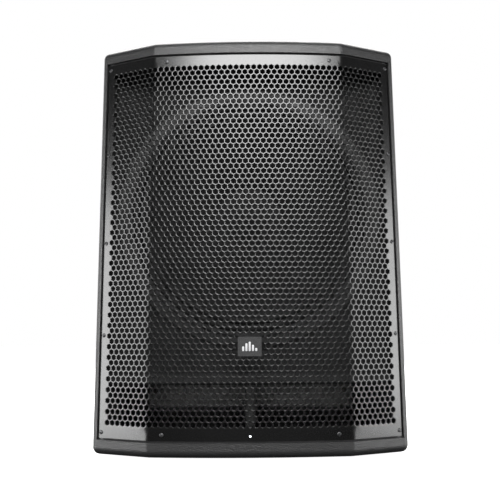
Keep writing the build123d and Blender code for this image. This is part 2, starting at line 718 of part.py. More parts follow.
SPIDER_T = 0.8
SPIDER_INNER_R = COIL_R + 0.5
SPIDER_OUTER_R = LANDING_R - FRAME_T - 3
WAVES = 5
WAVE_H = 5
wave_w = (SPIDER_OUTER_R - 6 - SPIDER_INNER_R - 4) / (2 * WAVES)
with BuildPart() as driver_spider:
    with BuildSketch(Plane.XY.offset(DRIVER_Z)):
        with BuildLine():
            y_low = Y_LANDING
            y_high = Y_LANDING - SPIDER_T
            start = SPIDER_INNER_R + 4
            upper = [(start + wave_w * n, y_high - (WAVE_H if n % 2 else 0)) for n in range(2 * WAVES + 1)]
            lower = [(start + wave_w * n, y_low - (WAVE_H if n % 2 else 0)) for n in range(2 * WAVES + 1)]
            Polyline(
                (SPIDER_INNER_R, y_high),
                *upper,
                (SPIDER_OUTER_R, y_high),
                (SPIDER_OUTER_R, y_low),
                *reversed(lower),
                (SPIDER_INNER_R, y_low),
                close=True,
            )
        make_face()
    revolve(axis=DRIVER_AXIS)
driver_spider.part.label = "driver_spider"
export_step(driver_spider.part, "parts/driver_spider.step")

Y_TOP_PLATE = Y_HUB
Y_MAGNET = Y_TOP_PLATE + TOP_PLATE_T
Y_BACK_PLATE = Y_MAGNET + MAGNET_T
Y_MOTOR_END = Y_BACK_PLATE + BACK_PLATE_T
WINDING_H = 24
WINDING_T = 1.4
Y_WINDING = Y_TOP_PLATE + (TOP_PLATE_T - WINDING_H) / 2
with BuildPart() as voice_coil:
    add(
        turned(
            (
                (COIL_R - FORMER_T, Y_CONE_NECK - 2),
                (COIL_R, Y_CONE_NECK - 2),
                (COIL_R, Y_WINDING),
                (COIL_R + WINDING_T, Y_WINDING),
                (COIL_R + WINDING_T, Y_WINDING + WINDING_H),
                (COIL_R - FORMER_T, Y_WINDING + WINDING_H),
            )
        )
    )
voice_coil.part.label = "voice_coil"
export_step(voice_coil.part, "parts/voice_coil.step")

rings = (
    ("magnet_top_plate", GAP_R, MAGNET_R - 8, Y_TOP_PLATE, Y_MAGNET),
    ("magnet_ring", MAGNET_HOLE_R, MAGNET_R, Y_MAGNET, Y_BACK_PLATE),
)
for name, inner, outer, y_start, y_end in rings:
    with BuildPart() as ring:
        add(turned(((inner, y_start), (outer, y_start), (outer, y_end), (inner, y_end))))
    ring.part.label = name
    export_step(ring.part, f"parts/{name}.step")

with BuildPart() as magnet_yoke:
    add(
        turned(
            (
                (VENT_R, Y_TOP_PLATE),
                (POLE_R, Y_TOP_PLATE),
                (POLE_R, Y_BACK_PLATE),
                (MAGNET_R - 6, Y_BACK_PLATE),
                (MAGNET_R - 6, Y_MOTOR_END),
                (VENT_R, Y_MOTOR_END),
            )
        )
    )
magnet_yoke.part.label = "magnet_yoke"
export_step(magnet_yoke.part, "parts/magnet_yoke.step")

TERMINAL_W = 34
TERMINAL_H = 20
TERMINAL_D = 20
CLAMP_X = 11
CLAMP_R = 3.5
CLAMP_H = 8
TERMINAL_Z = DRIVER_Z - 122
Y_TERMINAL = Y_LANDING + FRAME_T
with BuildPart() as driver_terminals:
    with BuildSketch(facing_front(0, Y_TERMINAL + TERMINAL_D, TERMINAL_Z)):
        RectangleRounded(TERMINAL_W, TERMINAL_H, 3)
    extrude(amount=TERMINAL_D)
    with Locations((0, Y_TERMINAL + TERMINAL_D / 2, TERMINAL_Z - TERMINAL_H / 2)):
        with GridLocations(2 * CLAMP_X, 0, 2, 1):
            Cylinder(CLAMP_R, CLAMP_H)
driver_terminals.part.label = "driver_terminals"
export_step(driver_terminals.part, "parts/driver_terminals.step")

with BuildPart() as driver_bolts:
    with Locations(*driver_places(BOLT_CIRCLE_R, Y_FLANGE, DRIVER_BOLTS, FIRST_BOLT_ANGLE)):
        Cylinder(BOLT_HEAD_R, BOLT_HEAD_H, align=(Align.CENTER, Align.CENTER, Align.MIN))
        Cylinder(BOLT_R, FLANGE_T + PANEL, align=(Align.CENTER, Align.CENTER, Align.MAX))
    head_planes = driver_places(BOLT_CIRCLE_R, Y_FLANGE - BOLT_HEAD_H, DRIVER_BOLTS, FIRST_BOLT_ANGLE)
    with Locations(*head_planes):
        with BuildSketch():
            RegularPolygon(BOLT_KEY_R, 6)
    extrude(amount=-BOLT_KEY_DEPTH, mode=Mode.SUBTRACT)
driver_bolts.part.label = "driver_bolts"
export_step(driver_bolts.part, "parts/driver_bolts.step")

# ---------------------------------------------------------------- rear panel and amplifier opening
FRAME_LAP = 12
FRAME_BAND = 18
RING_T = 18
AMP_CORNER_R = 6
RIM_CORNER_R = 5
AMP_GASKET_T = 2
AMP_PLATE_T = 3
Y_RING = Y_REAR_PANEL - RING_T
Y_GASKET = Y_REAR_PANEL
Y_PLATE = Y_GASKET + AMP_GASKET_T
Y_PLATE_FACE = Y_PLATE + AMP_PLATE_T
INSERT_R = 5.6
INSERT_BORE_R = 4.1
INSERT_FLANGE_R = 9.5
INSERT_FLANGE_T = 1.5
AMP_SCREW_R = 1.9
AMP_SCREW_LENGTH = 16
AMP_HEAD_R = 3.6
AMP_HEAD_H = 2.2
AMP_SCREW_EDGE = 8
AMP_SCREW_INNER_X = 41


def facing_back(x, y, z):
    """Plane whose normal points out of the back, its x to the right as seen from there."""
    return Plane(origin=(x, y, z), x_dir=(-1, 0, 0), z_dir=(0, 1, 0))


caster_places = [
    (side * CASTER_X + dx * CASTER_SPACING_X / 2, z + dz * CASTER_SPACING_Z / 2)
    for side in (-1, 1)
    for z in (CASTER_LOW_Z, CASTER_HIGH_Z)
    for dx in (-1, 1)
    for dz in (-1, 1)
]
amp_screw_x = AMP_W / 2 - AMP_SCREW_EDGE
amp_screw_z = AMP_H / 2 - AMP_SCREW_EDGE
amp_screw_places = [
    (side * amp_screw_x, AMP_Z + step * 2 * amp_screw_z / 3 - amp_screw_z)
    for side in (-1, 1)
    for step in range(4)
] + [(side * AMP_SCREW_INNER_X, AMP_Z + dz * amp_screw_z) for side in (-1, 1) for dz in (-1, 1)]

with BuildPart() as rear_panel:
    add(block((-INNER_HALF_W, INNER_HALF_W), (Y_REAR_PANEL, Y_BACK), (Z_FLOOR, Z_CEILING)))
    with BuildSketch(facing_back(0, Y_BACK, AMP_Z)):
        RectangleRounded(AMP_W, AMP_H, AMP_CORNER_R)
    extrude(amount=-PANEL, mode=Mode.SUBTRACT)
    with Locations(*[facing_back(x, Y_BACK, z) for x, z in caster_places]):
        Hole(INSERT_R + 0.1, PANEL)
rear_panel.part.label = "rear_panel"
export_step(rear_panel.part, "parts/rear_panel.step")

with BuildPart() as caster_inserts:
    with Locations(*[facing_back(x, Y_BACK, z) for x, z in caster_places]):
        Cylinder(INSERT_R, PANEL, align=(Align.CENTER, Align.CENTER, Align.MAX))
    with Locations(*[facing_back(x, Y_REAR_PANEL, z) for x, z in caster_places]):
        Cylinder(INSERT_FLANGE_R, INSERT_FLANGE_T, align=(Align.CENTER, Align.CENTER, Align.MAX))
    with Locations(*[facing_back(x, Y_BACK, z) for x, z in caster_places]):
        Hole(INSERT_BORE_R, PANEL)
caster_inserts.part.label = "caster_inserts"
export_step(caster_inserts.part, "parts/caster_inserts.step")

rim_pieces = (
    ("amp_mount_frame", AMP_W + 2 * FRAME_BAND, AMP_H + 2 * FRAME_BAND, Y_RING, RING_T, AMP_SCREW_R + 0.1),
    ("amp_gasket", AMP_W - 2, AMP_H - 2, Y_GASKET, AMP_GASKET_T, AMP_SCREW_R + 0.3),
)
for name, width, height, y_start, thickness, hole_r in rim_pieces:
    with BuildPart() as rim:
        with BuildSketch(facing_back(0, y_start, AMP_Z)):
            RectangleRounded(width, height, RIM_CORNER_R)
            RectangleRounded(
                AMP_W - 2 * FRAME_LAP, AMP_H - 2 * FRAME_LAP, RIM_CORNER_R, mode=Mode.SUBTRACT
            )
        extrude(amount=thickness)
        with Locations(*[facing_back(x, y_start + thickness, z) for x, z in amp_screw_places]):
            Hole(hole_r, thickness)
    rim.part.label = name
    export_step(rim.part, f"parts/{name}.step")

with BuildPart() as amp_screws:
    with Locations(*[facing_back(x, Y_PLATE_FACE, z) for x, z in amp_screw_places]):
        Cylinder(AMP_HEAD_R, AMP_HEAD_H, align=(Align.CENTER, Align.CENTER, Align.MIN))
        Cylinder(AMP_SCREW_R, AMP_SCREW_LENGTH, align=(Align.CENTER, Align.CENTER, Align.MAX))
amp_screws.part.label = "amp_screws"
export_step(amp_screws.part, "parts/amp_screws.step")

# ---------------------------------------------------------------- amplifier plate and what it carries
SOCKET_Z = 430
CONTROL_Z = 372
POWER_Z = 334
INPUTS = {"a": (70, SOCKET_Z), "b": (28, SOCKET_Z)}
OUTPUTS = ((-28, SOCKET_Z), (-70, SOCKET_Z))
KNOB_X = 70
BUTTONS = {"crossover": 28, "polarity": 0}
LIGHT_XS = (-32, -46, -60, -74)
INLET_X = -62
SWITCH_X = 4
SOCKET_BODY_R = 11.8
SOCKET_FLANGE_W = 26
SOCKET_FLANGE_H = 31
SOCKET_FLANGE_T = 2
SOCKET_CORNER_R = 3
SOCKET_BODY_D = 29
JACK_BORE_R = 3.3
JACK_BORE_D = 26
PIN_HOLE_R = 1.5
PIN_HOLE_D = 14
PIN_HOLE_CIRCLE_R = 6.9
SPINDLE_R = 3
BUTTON_R = 3.8
LIGHT_R = 1.9
LIGHT_PROUD = 0.8
INLET_W = 27
INLET_H = 19.6
SWITCH_W = 18.6
SWITCH_H = 24.6

with BuildPart() as amp_plate:
    with BuildSketch(facing_back(0, Y_PLATE, AMP_Z)):
        RectangleRounded(AMP_W - 4, AMP_H - 4, AMP_CORNER_R - 2)
    extrude(amount=AMP_PLATE_T)
    with Locations(*[facing_back(x, Y_PLATE_FACE, z) for x, z in amp_screw_places]):
        Hole(AMP_SCREW_R + 0.3, AMP_PLATE_T)
    with Locations(*[facing_back(x, Y_PLATE_FACE, z) for x, z in (*INPUTS.values(), *OUTPUTS)]):
        Hole(SOCKET_BODY_R + 0.2, AMP_PLATE_T)
    with Locations(facing_back(KNOB_X, Y_PLATE_FACE, CONTROL_Z)):
        Hole(SPINDLE_R + 0.5, AMP_PLATE_T)
    with Locations(*[facing_back(x, Y_PLATE_FACE, CONTROL_Z) for x in BUTTONS.values()]):
        Hole(BUTTON_R + 0.4, AMP_PLATE_T)
    with Locations(*[facing_back(x, Y_PLATE_FACE, CONTROL_Z) for x in LIGHT_XS]):
        Hole(LIGHT_R + 0.2, AMP_PLATE_T)
    with BuildSketch(facing_back(INLET_X, Y_PLATE_FACE, POWER_Z)):
        Rectangle(INLET_W + 0.4, INLET_H + 0.4)
    extrude(amount=-AMP_PLATE_T, mode=Mode.SUBTRACT)
    with BuildSketch(facing_back(SWITCH_X, Y_PLATE_FACE, POWER_Z)):
        Rectangle(SWITCH_W + 0.4, SWITCH_H + 0.4)
    extrude(amount=-AMP_PLATE_T, mode=Mode.SUBTRACT)
amp_plate.part.label = "amp_plate"
export_step(amp_plate.part, "parts/amp_plate.step")

FIN_COUNT = 23
FIN_PITCH = 10
FIN_T = 2.6
FIN_H = 9.5
SINK_BASE = 3
SINK_H = 148
SINK_Z = AMP_Z + 80
with BuildPart() as heat_sink:
    with BuildSketch(facing_back(0, Y_PLATE_FACE, SINK_Z)):
        Rectangle(FIN_PITCH * (FIN_COUNT - 1) + FIN_T, SINK_H)
    extrude(amount=SINK_BASE)
    with BuildSketch(facing_back(0, Y_PLATE_FACE + SINK_BASE, SINK_Z)):
        with GridLocations(FIN_PITCH, 1, FIN_COUNT, 1):
            Rectangle(FIN_T, SINK_H)
    extrude(amount=FIN_H)
heat_sink.part.label = "heat_sink"
export_step(heat_sink.part, "parts/heat_sink.step")

LATCH_W = 7.4
LATCH_H = 4.4
LATCH_UP = 8.6
LATCH_PROUD = 3
LATCH_BURIED = 8
LATCH_ROUND = 1
for name, (x, z) in INPUTS.items():
    with BuildPart() as input_jack:
        with BuildSketch(facing_back(x, Y_PLATE_FACE, z)):
            RectangleRounded(SOCKET_FLANGE_W, SOCKET_FLANGE_H, SOCKET_CORNER_R)
        extrude(amount=SOCKET_FLANGE_T)
        with BuildSketch(facing_back(x, Y_PLATE_FACE, z)):
            Circle(SOCKET_BODY_R)
        extrude(amount=-SOCKET_BODY_D)
        with Locations(facing_back(x, Y_PLATE_FACE + SOCKET_FLANGE_T, z)):
            Hole(JACK_BORE_R, JACK_BORE_D)
            with PolarLocations(PIN_HOLE_CIRCLE_R, 3, 210, 120, endpoint=True):
                Hole(PIN_HOLE_R, PIN_HOLE_D)
        with BuildSketch(facing_back(x, Y_PLATE_FACE + SOCKET_FLANGE_T, z + LATCH_UP)):
            Rectangle(LATCH_W + 0.6, LATCH_H + 0.6)
        extrude(amount=-PIN_HOLE_D, mode=Mode.SUBTRACT)
    input_jack.part.label = f"input_jack_{name}"
    export_step(input_jack.part, f"parts/input_jack_{name}.step")

    with BuildPart() as input_latch:
        with BuildSketch(facing_back(x, Y_PLATE_FACE + SOCKET_FLANGE_T + LATCH_PROUD, z + LATCH_UP)):
            Rectangle(LATCH_W, LATCH_H)
        extrude(amount=-LATCH_PROUD - LATCH_BURIED)
        fillet(input_latch.faces().sort_by(Axis.Y)[-1].edges(), radius=LATCH_ROUND)
    input_latch.part.label = f"input_latch_{name}"
    export_step(input_latch.part, f"parts/input_latch_{name}.step")

PIN_R = 1.25
PIN_CIRCLE_R = 5
OUTPUT_CAVITY_R = 9.4
OUTPUT_CAVITY_D = 16
PIN_SHORT = 3
with BuildPart() as output_sockets:
    for x, z in OUTPUTS:
        with BuildSketch(facing_back(x, Y_PLATE_FACE, z)):
            RectangleRounded(SOCKET_FLANGE_W, SOCKET_FLANGE_H, SOCKET_CORNER_R)
        extrude(amount=SOCKET_FLANGE_T)
        with BuildSketch(facing_back(x, Y_PLATE_FACE, z)):
            Circle(SOCKET_BODY_R)
        extrude(amount=-SOCKET_BODY_D)
        with Locations(facing_back(x, Y_PLATE_FACE + SOCKET_FLANGE_T, z)):
            Hole(OUTPUT_CAVITY_R, OUTPUT_CAVITY_D)
        with BuildSketch(facing_back(x, Y_PLATE_FACE + SOCKET_FLANGE_T - OUTPUT_CAVITY_D, z)):
            with Locations((-PIN_CIRCLE_R, 0), (PIN_CIRCLE_R, 0), (0, -PIN_CIRCLE_R)):
                Circle(PIN_R)
        extrude(amount=OUTPUT_CAVITY_D - PIN_SHORT)
output_sockets.part.label = "output_sockets"
export_step(output_sockets.part, "parts/output_sockets.step")

INLET_FLANGE_W = 50
INLET_FLANGE_H = 26
INLET_FLANGE_T = 3
INLET_BODY_D = 20
INLET_WALL = 1.7
INLET_CAVITY_D = 18
BLADE_W = 2
BLADE_H = 4
BLADE_L = 15
BLADE_X = 7
with BuildPart() as mains_inlet:
    with BuildSketch(facing_back(INLET_X, Y_PLATE_FACE, POWER_Z)):
        RectangleRounded(INLET_FLANGE_W, INLET_FLANGE_H, 4)
    extrude(amount=INLET_FLANGE_T)
    with BuildSketch(facing_back(INLET_X, Y_PLATE_FACE, POWER_Z)):
        Rectangle(INLET_W, INLET_H)
    extrude(amount=-INLET_BODY_D)
    with BuildSketch(facing_back(INLET_X, Y_PLATE_FACE + INLET_FLANGE_T, POWER_Z)):
        RectangleRounded(INLET_W - 2 * INLET_WALL, INLET_H - 2 * INLET_WALL, 3)
    extrude(amount=-INLET_CAVITY_D, mode=Mode.SUBTRACT)
    with BuildSketch(facing_back(INLET_X, Y_PLATE_FACE + INLET_FLANGE_T - INLET_CAVITY_D, POWER_Z)):
        with Locations((-BLADE_X, -BLADE_W), (0, BLADE_W), (BLADE_X, -BLADE_W)):
            Rectangle(BLADE_W, BLADE_H)
    extrude(amount=BLADE_L)
mains_inlet.part.label = "mains_inlet"
export_step(mains_inlet.part, "parts/mains_inlet.step")

ROCKER_W = 14.8
ROCKER_TILT = 8
ROCKER_HALF_H = 10
ROCKER_EDGE = 3.6
ROCKER_DISH = 1.2
ROCKER_SIDE = 1
ROCKER_BELLY_X = 5
ROCKER_BELLY = 5
PIVOT_R = 1.4
Y_PIVOT = Y_PLATE_FACE - 2
SWITCH_BEZEL = 2
SWITCH_BODY_D = 16
SWITCH_CAVITY_D = 14
CAVITY_W = ROCKER_W + 0.8
with BuildPart() as power_switch_housing:
    with BuildSketch(facing_back(SWITCH_X, Y_PLATE_FACE, POWER_Z)):
        RectangleRounded(SWITCH_W + 2 * SWITCH_BEZEL, SWITCH_H + 2 * SWITCH_BEZEL, 1.5)
    extrude(amount=SWITCH_BEZEL)
    with BuildSketch(facing_back(SWITCH_X, Y_PLATE_FACE, POWER_Z)):
        Rectangle(SWITCH_W, SWITCH_H)
    extrude(amount=-SWITCH_BODY_D)
    with BuildSketch(facing_back(SWITCH_X, Y_PLATE_FACE + SWITCH_BEZEL, POWER_Z)):
        Rectangle(CAVITY_W, SWITCH_H - 3)
    extrude(amount=-SWITCH_CAVITY_D, mode=Mode.SUBTRACT)
    with Locations(Plane(origin=(SWITCH_X, Y_PIVOT, POWER_Z), z_dir=(1, 0, 0))):
        Cylinder(PIVOT_R + 0.06, SWITCH_W - 1, mode=Mode.SUBTRACT)
power_switch_housing.part.label = "power_switch_housing"
export_step(power_switch_housing.part, "parts/power_switch_housing.step")

rocker_plane = Plane(
    origin=(SWITCH_X, Y_PIVOT, POWER_Z),
    x_dir=(0, sin(radians(ROCKER_TILT)), cos(radians(ROCKER_TILT))),
    z_dir=(-1, 0, 0),
)
with BuildPart() as power_rocker:
    with BuildSketch(rocker_plane):
        with BuildLine():
            left_edge = (-ROCKER_HALF_H, ROCKER_EDGE)
            right_edge = (ROCKER_HALF_H, ROCKER_EDGE)
            left_belly = (-ROCKER_BELLY_X, -ROCKER_SIDE)
            right_belly = (ROCKER_BELLY_X, -ROCKER_SIDE)
            Polyline(left_belly, (-ROCKER_HALF_H, ROCKER_SIDE), left_edge)
            ThreePointArc(left_edge, (0, ROCKER_EDGE - ROCKER_DISH), right_edge)
            Polyline(right_edge, (ROCKER_HALF_H, ROCKER_SIDE), right_belly)
            ThreePointArc(right_belly, (0, -ROCKER_BELLY), left_belly)
        make_face()
    extrude(amount=ROCKER_W / 2, both=True)
    with Locations(Plane(origin=(SWITCH_X, Y_PIVOT, POWER_Z), z_dir=(1, 0, 0))):
        Cylinder(PIVOT_R, SWITCH_W - 1.6)
power_rocker.part.label = "power_rocker"
export_step(power_rocker.part, "parts/power_rocker.step")

KNOB_R = 8
KNOB_H = 11
KNOB_TAPER = 4
KNOB_MARK_W = 1.2
KNOB_FLUTES = 12
KNOB_FLUTE_R = 0.9
Y_KNOB = Y_PLATE_FACE + 1
Y_SPINDLE = Y_PLATE_FACE - 20
with BuildPart() as gain_knob:
    with BuildSketch(facing_back(KNOB_X, Y_KNOB, CONTROL_Z)):
        Circle(KNOB_R)
    extrude(amount=KNOB_H, taper=KNOB_TAPER)
    with BuildSketch(facing_back(KNOB_X, Y_KNOB + KNOB_H - 1, CONTROL_Z + KNOB_R / 2)):
        Rectangle(KNOB_MARK_W, KNOB_R)
    extrude(amount=1, mode=Mode.SUBTRACT)
    with BuildSketch(facing_back(KNOB_X, Y_KNOB, CONTROL_Z)):
        with PolarLocations(KNOB_R + 0.3, KNOB_FLUTES):
            Circle(KNOB_FLUTE_R)
    extrude(amount=KNOB_H, mode=Mode.SUBTRACT)
    with BuildSketch(facing_back(KNOB_X, Y_SPINDLE, CONTROL_Z)):
        Circle(SPINDLE_R)
    extrude(amount=Y_KNOB - Y_SPINDLE)
gain_knob.part.label = "gain_knob"
export_step(gain_knob.part, "parts/gain_knob.step")

BUTTON_PROUD = 5.5
BUTTON_ROUND = 0.8
Y_BUTTON_FOOT = Y_PLATE_FACE - 6
for name, x in BUTTONS.items():
    with BuildPart() as button:
        with BuildSketch(facing_back(x, Y_BUTTON_FOOT, CONTROL_Z)):
            Circle(BUTTON_R)
        extrude(amount=Y_PLATE_FACE + BUTTON_PROUD - Y_BUTTON_FOOT)
        fillet(button.edges().filter_by(GeomType.CIRCLE).sort_by(Axis.Y)[-1], radius=BUTTON_ROUND)
    button.part.label = f"{name}_button"
    export_step(button.part, f"parts/{name}_button.step")

# ---------------------------------------------------------------- amplifier inside
COVER_W = AMP_W - 2 * FRAME_LAP - 4
COVER_H = AMP_H - 2 * FRAME_LAP - 4
COVER_D = 88
COVER_T = 1.5
COVER_CORNER_R = 4
Y_COVER = Y_PLATE - COVER_D
GLAND_X = 40
GLAND_Z = 352
GLAND_R = 8
GLAND_L = 10
Y_GLAND = Y_COVER - GLAND_L
with BuildPart() as amp_cover:
    with BuildSketch(facing_back(0, Y_COVER, AMP_Z)):
        RectangleRounded(COVER_W, COVER_H, COVER_CORNER_R)
    extrude(amount=COVER_D)
    with BuildSketch(facing_back(0, Y_COVER + COVER_T, AMP_Z)):
        RectangleRounded(COVER_W - 2 * COVER_T, COVER_H - 2 * COVER_T, COVER_CORNER_R - COVER_T)
    extrude(amount=COVER_D - COVER_T, mode=Mode.SUBTRACT)
    with BuildSketch(facing_back(GLAND_X, Y_GLAND, GLAND_Z)):
        RegularPolygon(GLAND_R, 6)
    extrude(amount=GLAND_L)
amp_cover.part.label = "amp_cover"
export_step(amp_cover.part, "parts/amp_cover.step")

BOARD_W = 214
BOARD_H = 296
BOARD_T = 1.6
Y_BOARD = Y_PLATE - 42
Y_BOARD_FACE = Y_BOARD + BOARD_T
Y_SWITCH_TOP = Y_BUTTON_FOOT - 3.5
BRIDGE_W = 190
BRIDGE_H = 10
BRIDGE_BELOW_SINK = 30
POT_SIZE = 16
Y_POT_FACE = Y_PLATE - 6
POT_BORE_D = 14
KEY_SIZE = 9
SMALL_CAN_R = 13
SMALL_CAN_H = 30
SMALL_CAN_UP = 116
CHOKE_SIZE = 30
CHOKE_H = 18
CHOKE_UP = 4
with BuildPart() as amp_board:
    with BuildSketch(facing_back(0, Y_BOARD, AMP_Z)):
        Rectangle(BOARD_W, BOARD_H)
    extrude(amount=BOARD_T)
    with BuildSketch(facing_back(0, Y_BOARD_FACE, SINK_Z - BRIDGE_BELOW_SINK)):
        Rectangle(BRIDGE_W, BRIDGE_H)
    extrude(amount=Y_PLATE - Y_BOARD_FACE)
    with BuildSketch(facing_back(KNOB_X, Y_BOARD_FACE, CONTROL_Z)):
        Rectangle(POT_SIZE, POT_SIZE)
    extrude(amount=Y_POT_FACE - Y_BOARD_FACE)
    with Locations(facing_back(KNOB_X, Y_POT_FACE, CONTROL_Z)):
        Hole(SPINDLE_R + 0.06, POT_BORE_D)
    for x in BUTTONS.values():
        with BuildSketch(facing_back(x, Y_BOARD_FACE, CONTROL_Z)):
            Rectangle(KEY_SIZE, KEY_SIZE)
        extrude(amount=Y_SWITCH_TOP - Y_BOARD_FACE)
    for x in LIGHT_XS:
        with BuildSketch(facing_back(x, Y_BOARD_FACE, CONTROL_Z)):
            Circle(LIGHT_R)
        extrude(amount=Y_PLATE_FACE + LIGHT_PROUD - Y_BOARD_FACE)
    with BuildSketch(facing_back(0, Y_BOARD_FACE, AMP_Z + SMALL_CAN_UP)):
        with GridLocations(34, 1, 5, 1):
            Circle(SMALL_CAN_R)
    extrude(amount=SMALL_CAN_H)
    with BuildSketch(facing_back(0, Y_BOARD_FACE, AMP_Z + CHOKE_UP)):
        with GridLocations(52, 1, 3, 1):
            RectangleRounded(CHOKE_SIZE, CHOKE_SIZE, 4)
    extrude(amount=CHOKE_H)
amp_board.part.label = "amp_board"
export_step(amp_board.part, "parts/amp_board.step")

STANDOFF_H = 5
STANDOFF_R = 3
SUPPLY_W = 200
SUPPLY_H = 270
SUPPLY_EDGE = 10
Y_SUPPLY = Y_COVER + COVER_T + STANDOFF_H
Y_SUPPLY_FACE = Y_SUPPLY + BOARD_T
TRANSFORMER_W = 66
TRANSFORMER_H = 58
TRANSFORMER_D = 30
BIG_CAN_R = 15
BIG_CAN_H = 28
COOLER_W = 150
COOLER_T = 8
COOLER_H = 25
FILTER_W = 32
FILTER_H = 24
FILTER_D = 20
with BuildPart() as power_supply:
    with BuildSketch(facing_back(0, Y_SUPPLY, AMP_Z)):
        Rectangle(SUPPLY_W, SUPPLY_H)
    extrude(amount=BOARD_T)
    with BuildSketch(facing_back(0, Y_COVER + COVER_T, AMP_Z)):
        with GridLocations(SUPPLY_W - 2 * SUPPLY_EDGE, SUPPLY_H - 2 * SUPPLY_EDGE, 2, 2):
            Circle(STANDOFF_R)
    extrude(amount=STANDOFF_H)
    with BuildSketch(facing_back(-40, Y_SUPPLY_FACE, AMP_Z + 60)):
        RectangleRounded(TRANSFORMER_W, TRANSFORMER_H, 6)
    extrude(amount=TRANSFORMER_D)
    with BuildSketch(facing_back(45, Y_SUPPLY_FACE, AMP_Z + 60)):
        with GridLocations(34, 34, 2, 2):
            Circle(BIG_CAN_R)
    extrude(amount=BIG_CAN_H)
    with BuildSketch(facing_back(0, Y_SUPPLY_FACE, AMP_Z - 40)):
        Rectangle(COOLER_W, COOLER_T)
    extrude(amount=COOLER_H)
    with BuildSketch(facing_back(-50, Y_SUPPLY_FACE, AMP_Z - 90)):
        with GridLocations(44, 1, 3, 1):
            RectangleRounded(FILTER_W, FILTER_H, 3)
    extrude(amount=FILTER_D)
power_supply.part.label = "power_supply"
export_step(power_supply.part, "parts/power_supply.step")

# ---------------------------------------------------------------- lead from the amplifier to the driver
LEAD_R = 4
lead_points = [
    Vector(0, Y_TERMINAL + TERMINAL_D, TERMINAL_Z),
    Vector(0, -52, TERMINAL_Z),
    Vector(9, 6, 264),
    Vector(26, 66, 263),
    Vector(38, 118, 300),
    Vector(GLAND_X, 148, GLAND_Z),
    Vector(GLAND_X, Y_GLAND, GLAND_Z),
]


def lead_radius(before, corner, after):
    """Largest even bend that the two runs beside a corner leave room for."""
    incoming = corner - before
    outgoing = after - corner
    half_turn = radians(incoming.get_angle(outgoing) / 2)
    return 0.45 * min(incoming.length, outgoing.length) / tan(half_turn)


lead_radii = [lead_radius(*lead_points[i : i + 3]) for i in range(len(lead_points) - 2)]
with BuildPart() as speaker_lead:
    with BuildLine() as lead_path:
        FilletPolyline(*lead_points, radius=lead_radii)
    with BuildSketch(Plane(origin=lead_path.line @ 0, z_dir=lead_path.line % 0)):
        Circle(LEAD_R)
    sweep(path=lead_path.line)
speaker_lead.part.label = "speaker_lead"
export_step(speaker_lead.part, "parts/speaker_lead.step")
print("lead radii", [round(radius, 1) for radius in lead_radii])
lead_length = sum(edge.length for edge in lead_path.edges())
print("lead length", round(lead_length, 1))
lead_volume = pi * LEAD_R**2 * lead_length
print("lead volume over section times length", round(speaker_lead.part.volume / lead_volume, 4))
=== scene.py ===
import json
import math
import random

import bpy
import numpy as np
from mathutils import Matrix, Vector
from mathutils.geometry import delaunay_2d_cdt


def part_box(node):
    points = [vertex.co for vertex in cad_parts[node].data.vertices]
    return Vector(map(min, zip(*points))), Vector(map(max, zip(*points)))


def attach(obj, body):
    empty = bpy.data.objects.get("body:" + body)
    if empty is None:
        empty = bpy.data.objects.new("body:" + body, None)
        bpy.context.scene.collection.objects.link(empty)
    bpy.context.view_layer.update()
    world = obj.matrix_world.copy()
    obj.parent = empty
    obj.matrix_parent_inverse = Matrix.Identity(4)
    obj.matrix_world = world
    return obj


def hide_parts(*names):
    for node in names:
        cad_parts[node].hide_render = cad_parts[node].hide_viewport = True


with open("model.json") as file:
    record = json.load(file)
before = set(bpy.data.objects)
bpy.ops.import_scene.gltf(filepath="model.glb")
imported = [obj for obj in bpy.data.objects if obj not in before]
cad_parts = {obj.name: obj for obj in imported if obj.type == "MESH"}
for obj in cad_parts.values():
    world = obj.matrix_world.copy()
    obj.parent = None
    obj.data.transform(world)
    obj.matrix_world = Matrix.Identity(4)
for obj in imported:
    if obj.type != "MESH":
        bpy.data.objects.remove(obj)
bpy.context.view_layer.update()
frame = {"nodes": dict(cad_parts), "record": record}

random.seed(7)
MM = 0.001


# ---------------------------------------------------------------- materials
def new_material(name):
    mat = bpy.data.materials.new(name)
    mat.use_nodes = True
    tree = mat.node_tree
    shader = tree.nodes["Principled BSDF"]
    place = tree.nodes.new("ShaderNodeTexCoord")
    return mat, tree, shader, place


NOISE_TURN = (0.6, 0.9, 0.35)
LOW_NOISE = 0.35
HIGH_NOISE = 0.65


def noise(tree, place, scale, detail=2.0, stretch=None):
    """Noise in metres of the part, turned off the axes unless it is drawn out along one of them."""
    node = tree.nodes.new("ShaderNodeTexNoise")
    node.inputs["Scale"].default_value = scale
    node.inputs["Detail"].default_value = detail
    mapping = tree.nodes.new("ShaderNodeMapping")
    if stretch is None:
        mapping.inputs["Rotation"].default_value = NOISE_TURN
    else:
        mapping.inputs["Scale"].default_value = stretch
    tree.links.new(place.outputs["Object"], mapping.inputs["Vector"])
    tree.links.new(mapping.outputs["Vector"], node.inputs["Vector"])
    return node


def ramp(tree, source, low, high):
    node = tree.nodes.new("ShaderNodeMapRange")
    node.inputs["From Min"].default_value = LOW_NOISE
    node.inputs["From Max"].default_value = HIGH_NOISE
    node.inputs["To Min"].default_value = low
    node.inputs["To Max"].default_value = high
    tree.links.new(source, node.inputs["Value"])
    return node.outputs["Result"]


def tint(tree, source, dark, light):
    node = tree.nodes.new("ShaderNodeValToRGB")
    for stop, position, color in zip(node.color_ramp.elements, (LOW_NOISE, HIGH_NOISE), (dark, light)):
        stop.position = position
        stop.color = (*color, 1)
    tree.links.new(source, node.inputs["Fac"])
    return node.outputs["Color"]


def bump(tree, shader, source, strength, distance):
    node = tree.nodes.new("ShaderNodeBump")
    node.inputs["Strength"].default_value = strength
    node.inputs["Distance"].default_value = distance
    tree.links.new(source, node.inputs["Height"])
    tree.links.new(node.outputs["Normal"], shader.inputs["Normal"])


